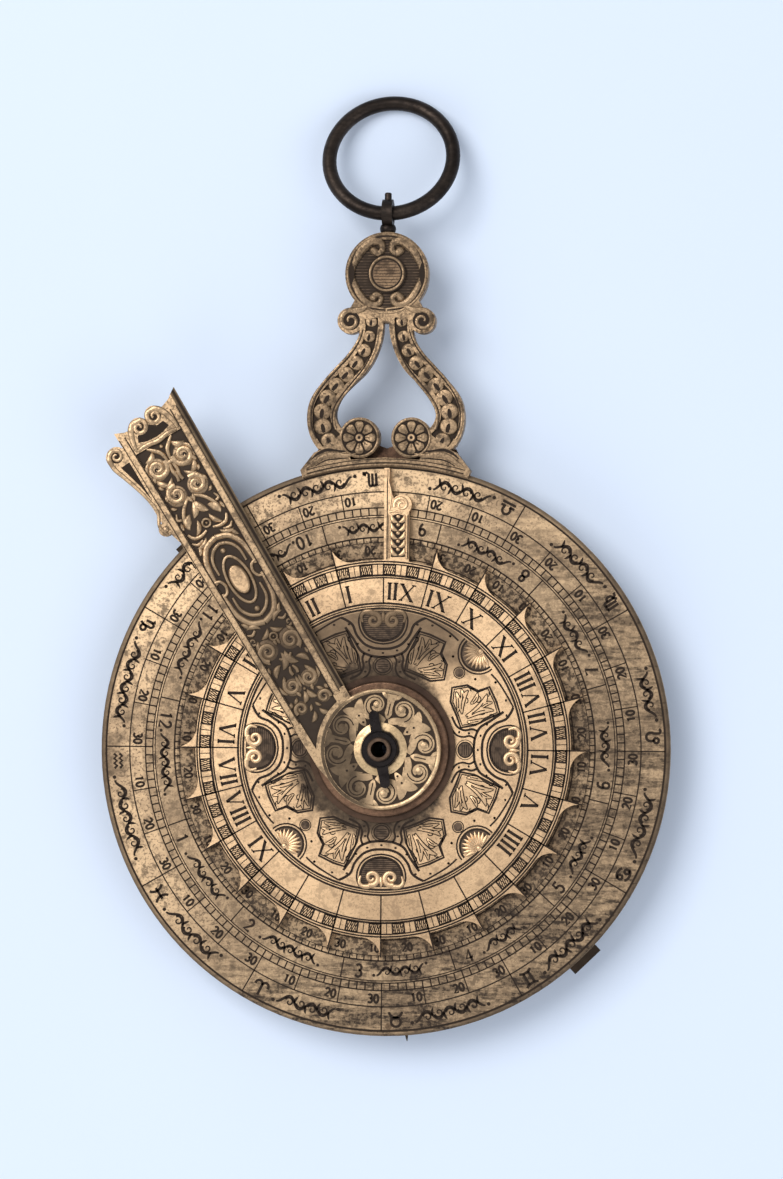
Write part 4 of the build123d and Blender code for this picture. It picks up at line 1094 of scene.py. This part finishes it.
for side in (1, -1):
    for course in paired:
        broad = [(x, y, 1.25 * half) for x, y, half in course]
        arm_carving.ridge(placed(broad, on_field(side)), 0.34)
    for course in volutes:
        (start_x, start_y, _), (end_x, end_y, _) = course[0], course[-1]
        x, y = on_field(side)(end_x, end_y)
        reach = hypot(start_x - end_x, start_y - end_y)
        arm_lines.panel(circle(x, y, 0.27, 10), 0.09, 0.1)
        arm_discs.boss(x, y, reach, reach, 0.13, 20, 3)
middle = on_field(1)
arm_carving.ridge(placed(oval(29.1, 0, 3.45, 1.55, 36, 0.24), middle), 0.32, True)
for along, radius in ((37.9, 0.55), (20.2, 0.5)):
    arm_carving.ridge(placed(circle(along, 0, radius, 16, 0.17), middle), 0.34, True)
    arm_carving.boss(*middle(along, 0), 0.18, 0.18, 0.24, 8, 3)
for along, radius in ((33.55, 0.42), (24.55, 0.42), (49.9, 0.32), (12.1, 0.24), (41.9, 0.26), (45.9, 0.22)):
    arm_carving.boss(*middle(along, 0), radius, radius, 0.34, 10, 3)
arm_carving.ridge(placed([(47.5, -0.55, 0.3), (47.5, 0.0, 0.34), (47.5, 0.55, 0.3)], middle), 0.38)
for low, high in ((30.6, 35.0), (23.2, 27.6)):
    for k in range(7):
        along = low + (high - low) * (k + 0.5) / 7
        reach = 2.55 * (1 - ((along - 29.1) / 6.6) ** 2) ** 0.5
        for side in (1, -1):
            arm_lines.groove(placed([(along, reach - 0.42), (along, reach + 0.05)], on_field(side)), 0.12)

arm_carving.level = arm_lines.level = ARM
for inset, width in ((0.12, 0.12), (1.02, 0.15)):
    arm_lines.groove([arm(along, far_edge(along) - inset) for along in (8.4, 53.4)], width)
for across, width in ((1.82, 0.16), (0.86, 0.13)):
    arm_lines.groove([arm(9.4, across), arm(53.6, across)], width)
rails = Shape(ARM)
rails.ridge([(*arm(along, far_edge(along) - 0.57), 0.36) for along in (8.4, 53.4)], 0.1, form=FLAT)
rails.ridge([(*arm(along, 1.34), 0.37) for along in (9.3, 53.4)], 0.1, form=FLAT)
rails.piece("arm_rails", "reading_arm", "arm_brass", finishes["arm_brass"])

# Scrolled end of the arm
for course in (
    smooth([(50.9, 2.2, 0.2), (51.6, 2.15, 0.32), (52.8, 2.4, 0.4), (54.0, 2.9, 0.44), (54.75, 3.6, 0.42)], 5)
    + volute(53.85, 4.15, 1.05, 30, 1.25, 0.36),
    smooth([(50.9, 8.5, 0.2), (51.6, 8.5, 0.32), (52.6, 8.3, 0.4), (53.7, 7.9, 0.44), (54.4, 7.3, 0.42)], 5)
    + volute(53.55, 6.65, 1.05, -40, -1.25, 0.36),
    smooth([(50.85, 2.4, 0.22), (51.0, 3.6, 0.3), (50.75, 5.3, 0.36), (51.0, 7.1, 0.3), (50.85, 8.4, 0.22)], 5),
):
    arm_carving.ridge(placed(course, arm), 0.24)
moon = [(51.8, 3.0), (51.4, 4.2), (51.3, 5.35), (51.4, 6.6), (51.8, 7.8)]
moon += [(52.7, 7.4), (52.6, 6.4), (53.3, 5.4), (52.6, 4.4), (52.7, 3.4)]
hollow = [(50.2, 10.15), (44.0, 9.98), (46.6, 10.45), (49.0, 11.15), (50.1, 11.5)]
grounds = [circle(53.85, 4.15, 0.98, 20), circle(53.55, 6.65, 0.98, 20), circle(51.75, 11.3, 0.95, 20), moon, hollow]
for outline in grounds:
    arm_lines.panel(placed(outline, arm))
wing_ridge = [(39.0, 10.45, 0.2), (40.6, 10.9, 0.24), (42.5, 10.15, 0.22), (45.2, 10.6, 0.24), (48.2, 11.55, 0.28)]
wing_ridge = smooth(wing_ridge + [(50.4, 12.35, 0.32), (51.9, 12.35, 0.34)], 5)
arm_carving.ridge(placed(wing_ridge + volute(51.75, 11.3, 1.0, 75, -1.35, 0.32), arm), 0.22)
arm_carving.boss(*arm(39.9, 10.35), 0.45, 0.45, 0.24)
arm_carving.piece("arm_carving", "reading_arm", "arm_brass", arm_carved)
arm_discs.piece("arm_scroll_grounds", "reading_arm", "arm_brass", arm_disc)
arm_lines.piece("arm_engraving", "reading_arm", "arm_brass", engraved_line)

# Round plate of the hub: a quarter of its scrolls and leaves, repeated four times
ROSETTE_CREST = 0.128
rosette = Shape(ROSETTE)
cuts = Shape(ROSETTE)
flat_forms = [
    smooth([(0, 4.1, 0.12), (0, 4.8, 0.5), (0, 5.6, 0.42), (0, 6.5, 0.5), (0, 7.45, 0.72)], 4),
    leaf(3.1, 3.1, 3.95, 6.1, 0.74, -0.12),
    leaf(3.1, 3.1, 6.1, 3.95, 0.74, 0.12),
    leaf(3.9, 3.9, 3.5, 1.6, 0.5, 0.15),
    leaf(3.9, 3.9, 1.6, 3.5, 0.5, -0.15),
    leaf(2.5, 2.5, 4.6, 4.6, 0.62),
]
for side in (1, -1):
    stem = smooth([(0.25, 3.75, 0.34), (0.95, 4.0, 0.5), (1.9, 4.2, 0.5)], 3)
    curl = volute(1.82, 5.6, 1.42, 275, 1.15, 0.46, 0.3, 24)
    flat_forms += [facing(course, side) for course in (stem[:-1] + curl, leaf(0.55, 6.7, 1.45, 7.5, 0.26, 0.1))]
    rosette.boss(side * 1.7, 5.66, 0.56, 0.56, 0.16, 14, 3)
    curl = enumerate(volute(1.82, 5.6, 1.5, 290, 0.72, 0.4, 0.5, 16))
    cuts.groove([(side * x, y, 1 - 0.4 * k / 16) for k, (x, y, _) in curl], 0.16, lift=ROSETTE_CREST)
for course in flat_forms:
    rosette.ridge(course, 0.13, form=FLAT)
cuts.groove([(0, 4.6), (0, 5.4), (0, 6.2)], 0.14, lift=ROSETTE_CREST)
for place in (3.0, 3.75):
    cuts.panel(circle(place, place, 0.16, 8), 0.03, 0.12)
rosette.turn(ROSETTE_TURN)
rosette.piece("rosette_carving", "reading_arm", "rosette_brass", rosette_carved, 4)
cuts.turn(ROSETTE_TURN)
cuts.piece("rosette_lines", "reading_arm", "rosette_brass", engraved_line, 4)
hub_rim = Shape(ARM)
hub_rim.ring([(7.55, -0.05), (7.58, 0.07), (7.78, 0.12), (7.96, 0.06), (8.0, -0.05)])
hub_rim.piece("hub_rim_bead", "reading_arm", "arm_brass", rosette_carved)


# Handle: scales along its limbs
def lay(name, form, course, copies, body, finish, level):
    """Lays copies of a form along a course of (x, y, breadth), as one piece."""
    form_piece = add(name + "_form", mesh_of(name + "_form", form.points, [], form.faces))
    steps = [(i, i + 1) for i in range(len(course) - 1)]
    piece = add(name, mesh_of(name, [(x, y, level) for x, y, breadth in course], steps, []))
    breadth = piece.data.attributes.new("breadth", "FLOAT", "POINT")
    turn = piece.data.attributes.new("turn", "FLOAT", "POINT")
    for i, (sx, sy) in enumerate(sides(course)):
        breadth.data[i].value = course[i][2]
        turn.data[i].value = atan2(-sx, sy) % (2 * pi)
    settle(piece, LAID, {"Form": form_piece, "Copies": copies, "Finish": finish})
    bpy.data.objects.remove(form_piece)
    face_outwards(piece.data)
    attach(piece, body)


def beside(course, offset):
    """A course of (x, y, breadth) moved to its left, further where it is broader."""
    moved = zip(course, sides(course))
    return [(x + sx * offset * breadth / 1.1, y + sy * offset * breadth / 1.1) for (x, y, breadth), (sx, sy) in moved]


LIMB = [(2.05, 57.2, 0.74), (2.3, 55.3, 0.8), (2.85, 53.6, 0.9), (4.0, 51.7, 1.0), (5.45, 50.0, 1.06)]
LIMB += [(6.95, 48.25, 1.1), (8.1, 46.5, 1.14), (8.6, 44.8, 1.14), (8.45, 43.0, 1.12), (7.7, 41.3, 1.0)]
# A scale one unit in radius that looks along +X, with its slit open towards +X
scale = Shape()
scale_rings = ((1.0, -0.06), (1.0, 0.1), (0.96, 0.22), (0.86, 0.3), (0.6, 0.33), (0.25, 0.34))
scale.band([[(*place, rise) for place in oval(0, 0, reach, 1.1 * reach, 18)] for reach, rise in scale_rings])
slit = Shape()
slit_rings = ((-0.3, 0.1, 0.356), (-0.05, 0.22, 0.356), (0.3, 0.26, 0.352), (0.65, 0.2, 0.345), (0.97, 0.1, 0.26))
slit.band([[(x, -half, 0.2), (x, half, 0.2), (x, half, top), (x, -half, top)] for x, half, top in slit_rings])

# Scrolls of the knob, with the finish of the handle's carving
KNOB_SCROLLS = [
    [
        (4.45, 63.7, 0.2), (4.15, 65.2, 0.42), (3.35, 66.8, 0.56), (2.1, 67.95, 0.56),
        (0.95, 67.85, 0.46), (0.62, 66.95, 0.4), (1.2, 66.3, 0.4), (1.8, 66.75, 0.5),
    ],
    [
        (4.45, 63.5, 0.2), (4.05, 61.9, 0.42), (3.2, 60.35, 0.5), (2.1, 59.5, 0.42),
        (1.05, 59.65, 0.36), (0.8, 60.45, 0.34), (1.45, 60.85, 0.34), (1.85, 60.4, 0.42),
    ],
]
IN_KNOB = KNOB_FIELD - HANDLE
handle_carving = Shape(HANDLE)
handle_lines = Shape(HANDLE)
for side, hand in ((1, "right"), (-1, "left")):
    limb = smooth(facing(LIMB, side), 6)
    lay(hand + "_limb_scales", scale, limb, 10, "base", handle_carved, CHANNEL)
    lay(hand + "_limb_slits", slit, limb, 10, "base", engraved_line, CHANNEL)
    # Dark lines and bright rails beside the scales
    for out in (1, -1):
        handle_lines.groove(beside(limb, 1.36 * out)[4:-3], 0.16)
        handle_carving.ridge([(*place, 0.16) for place in beside(limb, 1.62 * out)[4:-3]], 0.12)
    # Shoulder scroll on its dark ground
    shoulder = smooth([(2.6, 59.15, 0.3), (3.6, 58.75, 0.42), (4.6, 58.72, 0.44)], 4)
    shoulder += volute(4.85, 57.3, 1.42, 88, -1.3, 0.34, 0.2)
    handle_lines.panel(facing(circle(4.85, 57.3, 1.3, 24), side))
    handle_carving.ridge(facing(shoulder, side), 0.28)
    # Scrolls of the knob, with a dark leaf between them and the rim
    for course in KNOB_SCROLLS:
        broad = [(side * (x + 0.1 * max(0, x - 2)), y, 1.18 * half) for x, y, half in course]
        handle_carving.ridge(smooth(broad, 6), 0.56, lift=IN_KNOB)
        handle_carving.boss(side * course[-1][0], course[-1][1], 0.62, 0.56, 0.58, 12, 3, IN_KNOB)
    spandrel = [(4.7, 62.2, 0.1), (4.72, 63.0, 0.6), (4.78, 63.6, 0.84), (4.72, 64.2, 0.6), (4.7, 65.0, 0.1)]
    handle_lines.groove(facing(smooth(spandrel, 4), side), 1)
    handle_lines.groove(facing([(2.35, 59.0), (0.9, 58.75), (0.1, 58.7)], side), 0.22)
    # Leaf on the foot
    wave = [(3.9, 39.45, 0.1), (5.4, 39.2, 0.34), (7.0, 39.35, 0.44), (8.4, 39.05, 0.4), (9.6, 38.2, 0.3)]
    handle_carving.ridge(smooth(facing(wave + [(10.7, 37.55, 0.12)], side), 5), 0.24)
    crease = [(4.6, 39.8, 0.5), (6.2, 39.78, 1.5), (7.8, 39.95, 2.0), (9.0, 39.5, 1.6), (9.9, 38.75, 0.5)]
    handle_lines.groove(smooth(facing(crease, side), 5), 0.22)
    under = [(4.9, 38.85, 0.5), (6.4, 38.75, 1.2), (8.0, 38.55, 1.2), (9.4, 37.8, 0.8)]
    handle_lines.groove(smooth(facing(under, side), 5), 0.16)
    # Rim and petals of the flower
    centre = (side * FLOWER[0], FLOWER[1])
    handle_carving.ridge(circle(*centre, 2.5, 40, 0.17), 0.18, True)
    handle_lines.panel(circle(*centre, 2.34, 32))
    petal = Shape(HANDLE)
    petal_course = [(0.66, 0.12), (1.0, 0.3), (1.4, 0.5), (1.72, 0.61), (1.97, 0.54), (2.13, 0.36), (2.2, 0.1)]
    petal.ridge([(0, y, half) for y, half in petal_course], 0.2, form=FLAT)
    petal.ridge([(0, 0.7, 0.05), (0, 1.2, 0.13), (0, 1.6, 0.05)], 0.28)
    petal.piece(hand + "_flower_petals", "base", "handle_brass", handle_petal, 8, centre)

for radius, half, height in ((5.3, 0.16, 0.12), (2.25, 0.18, 0.2)):
    handle_carving.ridge(circle(0, KNOB_Y, radius, 60, half), height, True)
handle_lines.groove(arc(0, KNOB_Y, 5.02, 5.02, -52, 232, 60), 0.2, lift=0.004)
handle_lines.groove(arc(0, KNOB_Y, 2.42, 2.42, 0, 360, 40), 0.22, lift=IN_KNOB)
knob_hatching = Shape(KNOB_FIELD)
for k in range(24):
    y = -4.37 + 0.38 * k
    half = (4.55**2 - y * y) ** 0.5
    inner = (2.5**2 - y * y) ** 0.5 if abs(y) < 2.5 else 0.0
    for line in both([(inner, KNOB_Y + y), (half, KNOB_Y + y)]):
        knob_hatching.groove(line, 0.1)
knob_hatching.piece("knob_hatching", "base", "handle_brass", waxed_ground)
for radius, width in ((2.5, 0.16), (1.98, 0.2)):
    handle_lines.groove(circle(0, KNOB_Y, radius, 32), width, True)
for k in range(9):
    y = -1.6 + 0.4 * k
    half = (1.8**2 - y * y) ** 0.5
    handle_lines.groove([(-half, KNOB_Y + y), (half, KNOB_Y + y)], 0.07)
for radius, width in ((38.25, 0.16), (38.75, 0.12)):
    handle_lines.groove([dial(radius, a) for a in range(-16, 17, 2)], width)
handle_carving.ridge([(*dial(37.98, a), 0.16) for a in range(-17, 18)], 0.16)
handle_carving.piece("handle_carving", "base", "handle_brass", handle_carved)
handle_lines.piece("handle_engraving", "base", "handle_brass", engraved_line)

# Back: turned circles on the base disc, and ruled lines on the sighting rule and the pointed hand
back_circles = Shape(DISC_BACK)
back_circles.circles((37.2, 0.2), (36.6, 0.12), (24.9, 0.14), (24.5, 0.14), (9.6, 0.16), (9.1, 0.1))
back_circles.turn_over()
back_circles.piece("back_circles", "base", "dial_brass", engraved_line)

rule_lines = Shape(RULE_BACK)
for angle in (RULE_TURN, RULE_TURN + 180):
    rule_lines.groove([about(angle, 6.6, 0), about(angle, 31, 0)], 0.14)
    for side in (1, -1):
        edge = ((7.0, 1.2), (12.2, 1.24), (29.8, 1.94), (38.7, 1.94))
        rule_lines.groove([about(angle, run, side * across) for run, across in edge], 0.12)
rule_lines.turn_over()
rule_lines.piece("sighting_rule_lines", "sight_rule", "rear_brass", engraved_line)

hand_lines = Shape(HAND_BACK)
hand_lines.groove([(6.4, 0), (29.5, 0)], 0.12)
for run in (30.2, 30.6):
    hand_lines.groove([(run, -0.5), (run, 0.5)], 0.1)
hand_lines.turn(HAND_TURN)
hand_lines.turn_over()
hand_lines.piece("rear_index_lines", "rear_hand", "rear_brass", engraved_line)

low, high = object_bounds()
